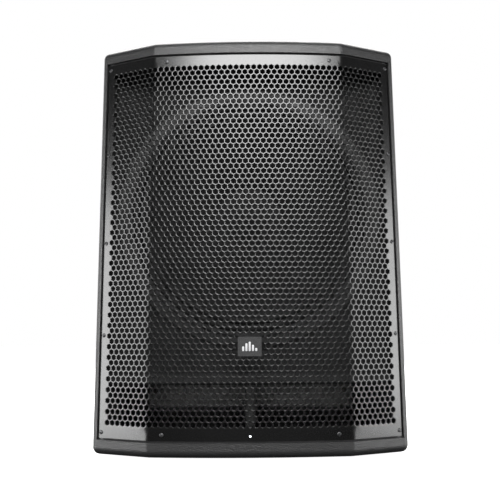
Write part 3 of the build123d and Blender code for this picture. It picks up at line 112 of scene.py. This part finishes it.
def finish_of(name, dark, light, rough, grain, depth, metal=0.0, specular=0.5, patch=14.0, stretch=None,
              sheen=0.0, strength=0.5):
    """A surface with a fine grain of its own and slow, faint changes of colour and gloss."""
    mat, tree, shader, place = new_material(name)
    slow = noise(tree, place, patch, 4.0)
    fine = noise(tree, place, grain, 3.0, stretch)
    tree.links.new(tint(tree, slow.outputs["Fac"], dark, light), shader.inputs["Base Color"])
    tree.links.new(ramp(tree, fine.outputs["Fac"], rough[0], rough[1]), shader.inputs["Roughness"])
    shader.inputs["Metallic"].default_value = metal
    shader.inputs["Specular IOR Level"].default_value = specular
    shader.inputs["Sheen Weight"].default_value = sheen
    bump(tree, shader, fine.outputs["Fac"], strength, depth)
    return mat


def grey(value):
    return (value, value, value * 1.03)


FINISHES = {
    "cabinet_paint": finish_of("textured_paint", grey(0.008), grey(0.014), (0.32, 0.5), 520, 0.0009,
                               specular=0.6, strength=0.8, patch=500),
    "inner_wood": finish_of("stained_wood", grey(0.005), grey(0.009), (0.6, 0.8), 300, 0.0003,
                            stretch=(1, 0.15, 1), patch=30, specular=0.25),
    "grille_metal": finish_of("powder_coat", grey(0.002), grey(0.003), (0.20, 0.28), 1800, 0.00006,
                              specular=0.6, strength=0.35),
    "black_screw": finish_of("black_oxide", grey(0.07), grey(0.1), (0.26, 0.4), 2500, 0.00004,
                             metal=0.85, specular=0.5),
    "badge_plate": finish_of("badge_satin", grey(0.011), grey(0.024), (0.42, 0.6), 1300, 0.0008,
                             specular=0.4, patch=900),
    "badge_mark": finish_of("pale_print", (0.42, 0.42, 0.43), (0.48, 0.48, 0.49), (0.35, 0.5), 3000, 0.00003),
    "dark_bolt": finish_of("dark_bolt", grey(0.02), grey(0.03), (0.4, 0.55), 2500, 0.00004, metal=0.6,
                           specular=0.4),
    "dark_bracket": finish_of("dark_bracket", grey(0.003), grey(0.005), (0.7, 0.85), 1500, 0.0001,
                              specular=0.12),
    "plate_print": finish_of("plate_print", (0.6, 0.6, 0.6), (0.72, 0.72, 0.72), (0.5, 0.6), 3000, 0.00002),
    "black_plastic": finish_of("moulded_black", grey(0.018), grey(0.026), (0.42, 0.58), 1600, 0.00012),
    "socket_body": finish_of("socket_black", grey(0.03), grey(0.04), (0.32, 0.45), 2000, 0.00006),
    "driver_frame": finish_of("cast_frame", grey(0.006), grey(0.009), (0.45, 0.6), 900, 0.0002, specular=0.3),
    "cone_paper": finish_of("doped_paper", grey(0.005), grey(0.009), (0.6, 0.8), 420, 0.0005, strength=0.8,
                            specular=0.2),
    "surround_cloth": finish_of("doped_cloth", grey(0.006), grey(0.01), (0.6, 0.8), 1500, 0.0003,
                                specular=0.25),
    "motor_steel": finish_of("motor_black", grey(0.03), grey(0.045), (0.35, 0.5), 700, 0.0001, metal=0.6),
    "ferrite": finish_of("ferrite_grey", grey(0.07), grey(0.1), (0.5, 0.65), 900, 0.0002),
    "coil_copper": finish_of("copper_winding", (0.42, 0.2, 0.09), (0.5, 0.25, 0.12), (0.25, 0.4), 2500,
                             0.0002, metal=1.0, stretch=(0.1, 1, 0.1)),
    "black_rubber": finish_of("rubber_black", grey(0.012), grey(0.02), (0.65, 0.85), 1100, 0.0002,
                              specular=0.35),
    "lining_felt": finish_of("felt_grey", (0.16, 0.16, 0.17), (0.24, 0.24, 0.25), (0.85, 0.95), 900, 0.0012,
                             sheen=0.4, specular=0.2, patch=60),
    "handle_steel": finish_of("handle_coat", grey(0.016), grey(0.024), (0.38, 0.52), 1300, 0.00015),
    "handle_grip": finish_of("grip_black", grey(0.014), grey(0.02), (0.6, 0.78), 1400, 0.0002,
                             specular=0.4),
    "insert_steel": finish_of("zinc_plate", (0.5, 0.5, 0.48), (0.62, 0.62, 0.6), (0.25, 0.45), 800, 0.00005,
                              metal=1.0),
    "amp_plate_paint": finish_of("plate_coat", grey(0.02), grey(0.027), (0.4, 0.55), 1500, 0.00012),
    "heat_sink_black": finish_of("anodised_black", grey(0.014), grey(0.022), (0.3, 0.45), 1200, 0.00008,
                                 metal=0.5, stretch=(1, 1, 0.08)),
    "cover_steel": finish_of("zinc_sheet", (0.45, 0.45, 0.46), (0.58, 0.58, 0.6), (0.28, 0.45), 300,
                             0.00006, metal=1.0, stretch=(0.15, 1, 1)),
    "circuit_board": finish_of("solder_mask", (0.012, 0.075, 0.028), (0.02, 0.11, 0.04), (0.3, 0.45), 700,
                               0.0001),
}

lamp, tree, shader, place = new_material("lamp_lens")
glow = noise(tree, place, 900, 2.0)
tree.links.new(tint(tree, glow.outputs["Fac"], (0.85, 0.92, 1.0), (1.0, 1.0, 1.0)),
               shader.inputs["Emission Color"])
shader.inputs["Emission Strength"].default_value = 1.6
shader.inputs["Base Color"].default_value = (0.9, 0.95, 1.0, 1)
shader.inputs["Roughness"].default_value = 0.15
FINISHES["led"] = lamp

slot_of = {part["node"]: part["material_slot"] for part in frame["record"]["subparts"]}
for node, obj in frame["nodes"].items():
    for index in range(len(obj.material_slots)):
        obj.material_slots[index].material = FINISHES[slot_of[node]]
for node, finish in (("badge_bracket", "dark_bracket"), ("driver_bolts", "dark_bolt")):
    frame["nodes"][node].material_slots[0].material = FINISHES[finish]


# ---------------------------------------------------------------- mesh helpers
def make_object(name, verts, faces, slot, body="cabinet", finish=None, sharp=25):
    mesh = bpy.data.meshes.new(name)
    mesh.from_pydata([tuple(v) for v in verts], [], faces)
    mesh.update()
    mesh.shade_smooth()
    mesh.set_sharp_from_angle(angle=math.radians(sharp))
    obj = bpy.data.objects.new(name, mesh)
    bpy.context.scene.collection.objects.link(obj)
    mesh.materials.append(FINISHES[finish or slot])
    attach(obj, body)
    return obj


class Builder:
    """Collects vertices and faces of one mesh."""

    def __init__(self):
        self.verts = []
        self.faces = []

    def add(self, verts, faces):
        start = len(self.verts)
        self.verts.extend(verts)
        self.faces.extend([[start + i for i in face] for face in faces])

    def prism(self, outline, frame_matrix, low, high, round_by=0.0):
        """A flat outline raised between two heights, its top edge eased by round_by."""
        n = len(outline)
        centre = sum((Vector((x, y)) for x, y in outline), Vector((0, 0))) / n
        levels = [(low, 0.0), (high - round_by, 0.0)]
        if round_by:
            levels += [(high - 0.3 * round_by, 0.3 * round_by), (high, round_by)]
        verts = []
        for z, inset in levels:
            for x, y in outline:
                away = Vector((x, y)) - centre
                point = centre + away * (1 - inset / max(away.length, 1e-9))
                verts.append(frame_matrix @ Vector((point.x, point.y, z)))
        faces = []
        for level in range(len(levels) - 1):
            for i in range(n):
                j = (i + 1) % n
                faces.append([level * n + i, level * n + j, (level + 1) * n + j, (level + 1) * n + i])
        faces.append([(len(levels) - 1) * n + i for i in range(n)])
        faces.append(list(reversed(range(n))))
        self.add(verts, faces)


def circle(radius, count):
    """Points round a circle, anticlockwise from the right."""
    return [(radius * math.cos(2 * math.pi * k / count), radius * math.sin(2 * math.pi * k / count))
            for k in range(count)]


def rounded_outline(width, height, radius, steps=4):
    points = []
    for cx, cy, start in ((1, 1, 0), (-1, 1, 90), (-1, -1, 180), (1, -1, 270)):
        for step in range(steps + 1):
            a = math.radians(start + 90 * step / steps)
            points.append((cx * (width / 2 - radius) + radius * math.cos(a),
                           cy * (height / 2 - radius) + radius * math.sin(a)))
    return points


def facing(origin, normal):
    """Matrix with z along the normal and y close to straight up."""
    z = Vector(normal).normalized()
    x = Vector((0, 0, 1)).cross(z).normalized()
    y = z.cross(x)
    return Matrix.Translation(origin) @ Matrix((x, y, z)).transposed().to_4x4()


# ---------------------------------------------------------------- front profile of the grille, in millimetres
BOW_HALF = 166.0
BOW_SAG = 10.4
BOW_R = (BOW_HALF**2 + BOW_SAG**2) / (2 * BOW_SAG)
WING = math.radians(25.3)
CREASE_R = 25.0
SHEET_T = 1.5
grille_low, grille_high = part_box("grille")
Y_GRILLE = grille_low.y / MM
HALF_SHEET_X = grille_high.x / MM
GRILLE_BOTTOM = grille_low.z / MM
GRILLE_TOP = grille_high.z / MM
LATTICE_RISE = 1.0
Z_LATTICE = (GRILLE_BOTTOM + GRILLE_TOP) / 2 + LATTICE_RISE

STEP = 0.05
TABLE_LENGTH = 300.0
bow_slope = math.asin(BOW_HALF / BOW_R)
tangent = CREASE_R * math.tan((WING - bow_slope) / 2)
bow_length = BOW_R * bow_slope - tangent
first_slope = bow_length / BOW_R
crease_length = CREASE_R * (WING - first_slope)
s_table = np.arange(0.0, TABLE_LENGTH, STEP)
slope_table = np.where(
    s_table < bow_length,
    s_table / BOW_R,
    np.minimum(first_slope + (s_table - bow_length) / CREASE_R, WING),
)
x_table = np.concatenate([[0.0], np.cumsum(np.cos(slope_table[:-1]) * STEP)])
y_table = np.concatenate([[0.0], np.cumsum(np.sin(slope_table[:-1]) * STEP)])
HALF_SHEET = float(np.interp(HALF_SHEET_X, x_table, s_table))


def on_sheet(s, z, depth):
    """Metres, from the distance along the sheet, the height and the depth behind its face in millimetres."""
    side = np.sign(s)
    slope = np.interp(abs(s), s_table, slope_table)
    x = np.interp(abs(s), s_table, x_table) - depth * np.sin(slope)
    y = Y_GRILLE + np.interp(abs(s), s_table, y_table) + depth * np.cos(slope)
    return np.stack([side * x * MM, y * MM, z * MM], axis=-1)


def sheet_normal(s):
    slope = float(np.interp(abs(s), s_table, slope_table))
    return Vector((math.copysign(math.sin(slope), s), -math.cos(slope), 0))


# ---------------------------------------------------------------- perforated grille
PITCH = 10.25
ROW = PITCH * math.sqrt(3) / 2
ROWS = 34
HOLES_IN_LONG_ROW = 49
HOLE_FLATS = 7.9
HOLE_BEVEL = 0.22
badge_low, badge_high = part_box("badge")
BADGE_ROW = -round((Z_LATTICE - (badge_low.z + badge_high.z) / 2 / MM) / ROW)
CUT_HALF_W = 23.6
CUT_HALF_H = 18.6
CUT_BAND = 2.6
LAMP_HOLE_R = 1.8
SCREW_HOLE_R = 1.7
screw_low, screw_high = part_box("grille_screws")


def corners(cx, cz, flats):
    """The corners of an upright hexagon of that width across its flats."""
    r = flats / math.sqrt(3)
    return [(cx + r * math.cos(math.radians(30 + 60 * i)), cz + r * math.sin(math.radians(30 + 60 * i)))
            for i in range(6)]


def clip(points, axis, limit, keep):
    """The part of a polygon on one side of a line."""
    out = []
    for a, b in zip(points, points[1:] + points[:1]):
        a_kept = keep * (a[axis] - limit) >= 0
        b_kept = keep * (b[axis] - limit) >= 0
        if a_kept:
            out.append(a)
        if a_kept != b_kept:
            t = (limit - a[axis]) / (b[axis] - a[axis])
            out.append(tuple(a[k] + t * (b[k] - a[k]) for k in range(len(a))))
    return out


cells = []
for row in range(-ROWS, ROWS + 1):
    count = HOLES_IN_LONG_ROW - row % 2
    for column in range(count):
        cells.append(((column - (count - 1) / 2) * PITCH, row * ROW))

badge_z = BADGE_ROW * ROW
front, bevel_faces, back_faces = [], [], []
for cx, cz in cells:
    near = abs(cx) < CUT_HALF_W + PITCH and abs(cz - badge_z) < CUT_HALF_H + PITCH
    cell = corners(cx, cz, PITCH)
    rim = corners(cx, cz, HOLE_FLATS + 2 * HOLE_BEVEL)
    hole = corners(cx, cz, HOLE_FLATS)
    for i in range(6):
        j = (i + 1) % 6
        for kept, inner, inner_d, outer, outer_d in (
            (front, rim, 0.0, cell, 0.0),
            (bevel_faces, hole, HOLE_BEVEL, rim, 0.0),
            (back_faces, hole, SHEET_T, cell, SHEET_T),
        ):
            quad = [(*inner[i], inner_d), (*inner[j], inner_d), (*outer[j], outer_d), (*outer[i], outer_d)]
            if near:
                mid_x = sum(p[0] for p in quad) / 4
                mid_z = sum(p[1] for p in quad) / 4 - badge_z
                over_x = abs(mid_x) - CUT_HALF_W
                over_z = abs(mid_z) - CUT_HALF_H
                if max(over_x, over_z) < -CUT_BAND:
                    continue
                if max(over_x, over_z) < CUT_BAND:
                    if over_x > over_z:
                        side = math.copysign(1, mid_x)
                        quad = clip(quad, 0, side * CUT_HALF_W, side)
                    else:
                        side = math.copysign(1, mid_z)
                        quad = clip(quad, 1, badge_z + side * CUT_HALF_H, side)
                    if len(quad) < 3:
                        continue
            kept.append(quad)

# plain margin round the holes
low_z = GRILLE_BOTTOM - Z_LATTICE
high_z = GRILLE_TOP - Z_LATTICE
points, segments, keys = [], [], {}


def point_of(x, z):
    key = (round(x, 4), round(z, 4))
    if key not in keys:
        keys[key] = len(points)
        points.append((x, z))
    return keys[key]


edge_count = {}
for cx, cz in cells:
    cell = corners(cx, cz, PITCH)
    for a, b in zip(cell, cell[1:] + cell[:1]):
        key = tuple(sorted(((round(a[0], 4), round(a[1], 4)), (round(b[0], 4), round(b[1], 4)))))
        edge_count.setdefault(key, []).append((a, b))
for found in edge_count.values():
    if len(found) == 1:
        (a, b), = found
        segments.append((point_of(*a), point_of(*b)))


def rail(fixed, low, high, upright, step=2.0):
    """A straight edge of the sheet, cut into short lengths so that it can follow the bends."""
    count = int(round((high - low) / step))
    line = [low + (high - low) * i / count for i in range(count + 1)]
    found = [point_of(fixed, v) if upright else point_of(v, fixed) for v in line]
    segments.extend(zip(found[:-1], found[1:]))


CORNER = 1.2
rail(low_z, -HALF_SHEET + CORNER, HALF_SHEET - CORNER, False)
rail(high_z, -HALF_SHEET + CORNER, HALF_SHEET - CORNER, False)
rail(-HALF_SHEET, low_z + CORNER, high_z - CORNER, True, 6.0)
rail(HALF_SHEET, low_z + CORNER, high_z - CORNER, True, 6.0)
for sx in (-1, 1):
    for z_edge, sz in ((low_z, 1), (high_z, -1)):
        last = point_of(sx * HALF_SHEET, z_edge + sz * CORNER)
        for step in range(1, 5):
            a = math.radians(90 * step / 4)
            here = point_of(sx * (HALF_SHEET - CORNER * (1 - math.cos(a))),
                            z_edge + sz * CORNER * (1 - math.sin(a)))
            segments.append((last, here))
            last = here
lamp_low, lamp_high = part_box("front_led")
round_holes = [(0.0, (lamp_low.z + lamp_high.z) / 2 / MM - Z_LATTICE, LAMP_HOLE_R)]
HEAD_R = 3.4
SIDE_SCREW_X = 248.5
BOW_SCREW_X = 143.0
SIDE_SCREW_SHARE = 157.5 / 316.5
screw_zs = [screw_low.z / MM + HEAD_R - Z_LATTICE, screw_high.z / MM - HEAD_R - Z_LATTICE]
screw_mid = sum(screw_zs) / 2
screw_side = float(np.interp(SIDE_SCREW_X, x_table, s_table))
screw_bow = float(np.interp(BOW_SCREW_X, x_table, s_table))
screw_places = [(side * screw_side, screw_mid + share * (screw_zs[1] - screw_mid))
                for side in (-1, 1) for share in (-1, -SIDE_SCREW_SHARE, 0, SIDE_SCREW_SHARE, 1)]
screw_places += [(side * screw_bow, z) for side in (-1, 1) for z in screw_zs]
round_holes += [(s, z, SCREW_HOLE_R) for s, z in screw_places]
for hx, hz, r in round_holes:
    ring = [point_of(hx + dx, hz + dz) for dx, dz in circle(r, 16)]
    segments.extend(zip(ring, ring[1:] + ring[:1]))
lattice_half = HOLES_IN_LONG_ROW * PITCH / 2
lattice_top = ROWS * ROW + PITCH / math.sqrt(3)
SPACING = 2.0
for z_row in (low_z + 4, low_z + 8, high_z - 4, high_z - 8):
    for i in range(-int(HALF_SHEET / SPACING), int(HALF_SHEET / SPACING) + 1):
        x = i * SPACING
        clear = all(math.hypot(x - hx, z_row - hz) > r + 1 for hx, hz, r in round_holes)
        if clear and abs(x) < HALF_SHEET - SPACING:
            point_of(x, z_row)
triangulation = delaunay_2d_cdt([Vector(p) for p in points], segments, [], 0, 1e-5)
flat, triangles = triangulation[0], triangulation[2]
centres = np.array(cells)
for triangle in triangles:
    tri = [flat[i] for i in triangle]
    mx = sum(p.x for p in tri) / 3
    mz = sum(p.y for p in tri) / 3
    if any(math.hypot(mx - hx, mz - hz) < r for hx, hz, r in round_holes):
        continue
    corner_x = abs(mx) - (HALF_SHEET - CORNER)
    corner_z = max(low_z + CORNER - mz, mz - (high_z - CORNER))
    if corner_x > 0 and corner_z > 0 and math.hypot(corner_x, corner_z) > CORNER:
        continue
    if abs(mx) < lattice_half + 1 and abs(mz) < lattice_top:
        dx = abs(centres[:, 0] - mx)
        dz = abs(centres[:, 1] - mz)
        if (np.maximum(dx, 0.5 * dx + math.sqrt(3) / 2 * dz) < PITCH / 2 + 0.02).any():
            continue
    area = (tri[1] - tri[0]).cross(tri[2] - tri[0])
    tri = tri if area > 0 else tri[::-1]
    front.append([(p.x, p.y, 0.0) for p in tri])
    back_faces.append([(p.x, p.y, SHEET_T) for p in tri])

verts, index_of, faces = [], {}, []


def vertex(p):
    key = (round(p[0], 3), round(p[1], 3), round(p[2], 3))
    if key not in index_of:
        index_of[key] = len(verts)
        verts.append(p)
    return index_of[key]


def wound(polygon, turn):
    """The polygon's vertex numbers, counter-clockwise as seen from the front, or the other way."""
    area = sum(a[0] * b[1] - b[0] * a[1] for a, b in zip(polygon, polygon[1:] + polygon[:1]))
    ordered = polygon if area > 0 else polygon[::-1]
    found = []
    for p in ordered if turn else ordered[::-1]:
        v = vertex(p)
        if v not in found:
            found.append(v)
    return found


for group, to_front in ((front + bevel_faces, True), (back_faces, False)):
    for polygon in group:
        found = wound(polygon, to_front)
        if len(found) > 2:
            faces.append(found)

# walls of the holes and the outer edges, from each open edge of the face to the one behind it
edges = dict.fromkeys((a, b) for face in faces for a, b in zip(face, face[1:] + face[:1]))
twins = {}
for number, (x, z, d) in enumerate(verts):
    twins.setdefault((round(x, 3), round(z, 3)), {})[round(d, 3)] = number
for a, b in edges:
    if (b, a) in edges or verts[a][2] >= SHEET_T:
        continue
    pair = [twins[(round(verts[v][0], 3), round(verts[v][1], 3))].get(round(SHEET_T, 3)) for v in (a, b)]
    if None not in pair:
        faces.append([b, a, pair[0], pair[1]])
array = np.array(verts, float)
placed = on_sheet(array[:, 0], array[:, 1] + Z_LATTICE, array[:, 2])
grille = make_object("grille_perforated", placed, faces, "grille_metal", sharp=60)
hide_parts("grille")

# ---------------------------------------------------------------- pan head screws with a cross recess
heads = Builder()
HEAD_H = 1.75
RINGS = [0.0, 0.25, 0.5, 0.75, 1.0, 1.25, 1.5, 1.8, 2.1, 2.4, 2.7, 3.0, 3.2, 3.34, 3.4]
SPOKES = 40
RECESS_REACH = 1.9
RECESS_DEPTH = 1.15
ARM_HALF_W = 0.42
SHANK_R = 1.4
THREAD_ROOT_R = 1.05
THREADS = 26
SHANK_SPOKES = 16


def recess(u, v):
    """Depth of the cross recess at a point of the head."""
    arm = min(abs(u), abs(v))
    reach = max(abs(u), abs(v))
    if reach > RECESS_REACH:
        return 0.0
    wide = ARM_HALF_W + 0.12 * (1 - reach / RECESS_REACH)
    inside = max(0.0, min(1.0, (wide - arm) / 0.14))
    return RECESS_DEPTH * inside * min(1.0, (RECESS_REACH - reach) / 0.5)


def tube(rings, count):
    """Quads that join one ring of points to the next."""
    return [[level * count + k, (level + 1) * count + k,
             (level + 1) * count + (k + 1) % count, level * count + (k + 1) % count]
            for level in range(rings - 1) for k in range(count)]


for s, z in screw_places:
    base = Vector(on_sheet(np.array([s]), np.array([z + Z_LATTICE]), np.array([0.0]))[0])
    turn = Matrix.Rotation(random.uniform(0, math.pi), 4, "Z")
    matrix = facing(base, sheet_normal(s)) @ turn
    ring_verts = []
    for r in RINGS:
        for u, v in circle(r, SPOKES):
            top = HEAD_H - 0.055 * r * r - max(0.0, r - 2.7) ** 2 * 1.3
            ring_verts.append(matrix @ (Vector((u, v, top - recess(u, v))) * MM))
    ring_verts += [matrix @ (Vector((u, v, 0.0)) * MM) for u, v in circle(HEAD_R, SPOKES)]
    heads.add(ring_verts, tube(len(RINGS) + 1, SPOKES))
    levels = [(SHANK_R, 0.0)]
    levels += [(THREAD_ROOT_R if step % 2 else SHANK_R, -1.6 - step * 0.16) for step in range(THREADS)]
    levels.append((0.2, -6.0))
    shank_verts = [matrix @ (Vector((u, v, depth)) * MM)
                   for r, depth in levels for u, v in circle(r, SHANK_SPOKES)]
    heads.add(shank_verts, tube(len(levels), SHANK_SPOKES))
screws = make_object("grille_screw_heads", heads.verts, heads.faces, "black_screw", sharp=40)
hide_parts("grille_screws")

# ---------------------------------------------------------------- badge: a plain raised mark of level bars
marks = Builder()
badge_mid = (badge_low + badge_high) / 2
BAR_W = 3.4
BAR_SPACING = 5.3
BAR_HEIGHTS = (7.5, 12.5, 15.0, 10.0, 5.0)
BAR_FOOT = -max(BAR_HEIGHTS) / 2
BAR_RAISED = 0.3
badge_face = facing(Vector((0, badge_low.y, badge_mid.z)), (0, -1, 0))
for number, height in enumerate(BAR_HEIGHTS):
    x = (number - (len(BAR_HEIGHTS) - 1) / 2) * BAR_SPACING
    outline = [((px + x) * MM, (pz + height / 2 + BAR_FOOT) * MM)
               for px, pz in rounded_outline(BAR_W, height, 1.2)]
    marks.prism(outline, badge_face, -0.1 * MM, BAR_RAISED * MM, 0.12 * MM)
make_object("badge_mark", marks.verts, marks.faces, "badge_plate", "badge_body", "badge_mark")

# ---------------------------------------------------------------- rear panel print and trim
prints = Builder()
PRINT_LOW = -0.05 * MM
PRINT_HIGH = 0.06 * MM
TICK_START_R = 10.6
KNOB_TURN = 150
BUTTON_RING_R = (6.2, 6.7)
RING_PARTS = 48
knob_low, knob_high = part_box("gain_knob")
knob_mid = (knob_low + knob_high) / 2
plate_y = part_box("amp_plate")[1].y
for step in range(11):
    a = math.radians(-KNOB_TURN + 2 * KNOB_TURN * step / 10)
    matrix = facing(Vector((knob_mid.x, plate_y, knob_mid.z)), (0, 1, 0)) @ Matrix.Rotation(-a, 4, "Z")
    length = 3.2 if step in (0, 5, 10) else 2.0
    outline = [(px * MM, (pz + TICK_START_R + length / 2) * MM)
               for px, pz in rounded_outline(0.7, length, 0.3, 2)]
    prints.prism(outline, matrix, PRINT_LOW, PRINT_HIGH)
for node in ("crossover_button", "polarity_button"):
    low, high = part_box(node)
    mid = (low + high) / 2
    matrix = facing(Vector((mid.x, plate_y, mid.z)), (0, 1, 0))
    inner, outer = (circle(r * MM, RING_PARTS) for r in BUTTON_RING_R)
    for k in range(RING_PARTS):
        j = (k + 1) % RING_PARTS
        outline = [inner[k], outer[k], outer[j], inner[j]]
        prints.prism(outline, matrix, PRINT_LOW, PRINT_HIGH)
make_object("plate_print", prints.verts, prints.faces, "amp_plate_paint", "cabinet", "plate_print")

# ---------------------------------------------------------------- floor, lights, world
floor_mesh = bpy.data.meshes.new("floor")
SPAN = 14.0
floor_mesh.from_pydata([(-SPAN, -SPAN, 0), (SPAN, -SPAN, 0), (SPAN, SPAN, 0), (-SPAN, SPAN, 0)], [],
                       [[0, 1, 2, 3]])
floor = bpy.data.objects.new("floor", floor_mesh)
bpy.context.scene.collection.objects.link(floor)
pale, tree, shader, place = new_material("studio_floor")
shade = noise(tree, place, 3.0)
tree.links.new(tint(tree, shade.outputs["Fac"], (0.86, 0.86, 0.86), (0.88, 0.88, 0.88)),
               shader.inputs["Base Color"])
shader.inputs["Roughness"].default_value = 0.9
shader.inputs["Specular IOR Level"].default_value = 0.1
shader.inputs["Emission Color"].default_value = (1, 1, 1, 1)
shader.inputs["Emission Strength"].default_value = 1.0
floor_mesh.materials.append(pale)
floor.visible_glossy = False
floor.visible_diffuse = False
floor.visible_shadow = False

# white to the camera, dim to everything else
scene = bpy.context.scene
world = bpy.data.worlds.new("studio")
scene.world = world
world.use_nodes = True
world_tree = world.node_tree
background = world_tree.nodes["Background"]
seen = world_tree.nodes.new("ShaderNodeBackground")
for sky, brightness in ((background, 0.03), (seen, 1.0)):
    sky.inputs["Color"].default_value = (1, 1, 1, 1)
    sky.inputs["Strength"].default_value = brightness
path = world_tree.nodes.new("ShaderNodeLightPath")
mixed = world_tree.nodes.new("ShaderNodeMixShader")
world_tree.links.new(path.outputs["Is Camera Ray"], mixed.inputs["Fac"])
world_tree.links.new(background.outputs["Background"], mixed.inputs[1])
world_tree.links.new(seen.outputs["Background"], mixed.inputs[2])
world_tree.links.new(mixed.outputs["Shader"], world_tree.nodes["World Output"].inputs["Surface"])
scene.view_settings.view_transform = "Standard"


LIGHTS_AIM = Vector((0, -0.3, 0.36))


def softbox(name, azimuth, elevation, distance, width, height, power):
    """A rectangular light on a sphere round the middle of the front, facing it. Azimuth 0 is in front."""
    a, e = math.radians(azimuth), math.radians(elevation)
    back = Vector((math.sin(a) * math.cos(e), -math.cos(a) * math.cos(e), math.sin(e)))
    data = bpy.data.lights.new(name, "AREA")
    data.shape = "RECTANGLE"
    data.size = width
    data.size_y = height
    data.energy = power
    light = bpy.data.objects.new(name, data)
    scene.collection.objects.link(light)
    light.location = LIGHTS_AIM + back * distance
    light.rotation_mode = "QUATERNION"
    light.rotation_quaternion = back.to_track_quat("Z", "Y")
    return light


softbox("front_high", 2, 29, 3.2, 1.9, 1.7, 165)
softbox("front_low", 0, -34, 2.8, 2.0, 1.2, 4)
softbox("left_low", -70, -2, 2.6, 1.2, 1.3, 54)
softbox("right_low", 71, -1, 2.6, 1.2, 1.2, 46)
softbox("over_back", 180, 55, 3.2, 3.0, 2.6, 90)
softbox("side_left", -115, 0, 3.0, 2.6, 2.4, 30)
softbox("side_right", 112, -4, 3.0, 2.6, 2.4, 34)
softbox("back_left", -160, 30, 3.4, 2.8, 2.4, 42)
softbox("back_right", 160, 30, 3.4, 2.8, 2.4, 42)
# the ports are deep, so one light reaches only what stands inside them
port_fill = softbox("port_fill", 0, 2, 4.0, 1.2, 0.9, 95)
lit = bpy.data.collections.new("lit_by_port_fill")
for node in ("port_divider", "port_shelf", "rear_panel", "amp_cover", "amp_mount_frame", "lining_left",
             "lining_right", "power_supply", "amp_board", "window_brace"):
    lit.objects.link(frame["nodes"][node])
port_fill.light_linking.receiver_collection = lit

# ---------------------------------------------------------------- camera
CAMERA_PLACE = (2.8, -1470.7, 196.8)
YAW, PITCH_UP, ROLL = (math.radians(v) for v in (0.038, 9.803, -0.402))
turn_z = Matrix(((math.cos(YAW), math.sin(YAW), 0), (-math.sin(YAW), math.cos(YAW), 0), (0, 0, 1)))
turn_x = Matrix(((1, 0, 0), (0, math.cos(PITCH_UP), math.sin(PITCH_UP)),
                 (0, -math.sin(PITCH_UP), math.cos(PITCH_UP))))
turn_y = Matrix(((math.cos(ROLL), 0, math.sin(ROLL)), (0, 1, 0), (-math.sin(ROLL), 0, math.cos(ROLL))))
looks = (turn_y @ turn_x @ turn_z).transposed()
camera_data = bpy.data.cameras.new("camera")
camera = bpy.data.objects.new("camera", camera_data)
scene.collection.objects.link(camera)
right, ahead, above = looks.col[0], looks.col[1], looks.col[2]
camera.matrix_world = (Matrix.Translation([v * MM for v in CAMERA_PLACE])
                       @ Matrix((right, above, -ahead)).transposed().to_4x4())
camera_data.sensor_width = 36
camera_data.lens = 50.775
camera_data.shift_y = -0.07
camera_data.clip_start = 0.05
camera_data.clip_end = 60
scene.camera = camera
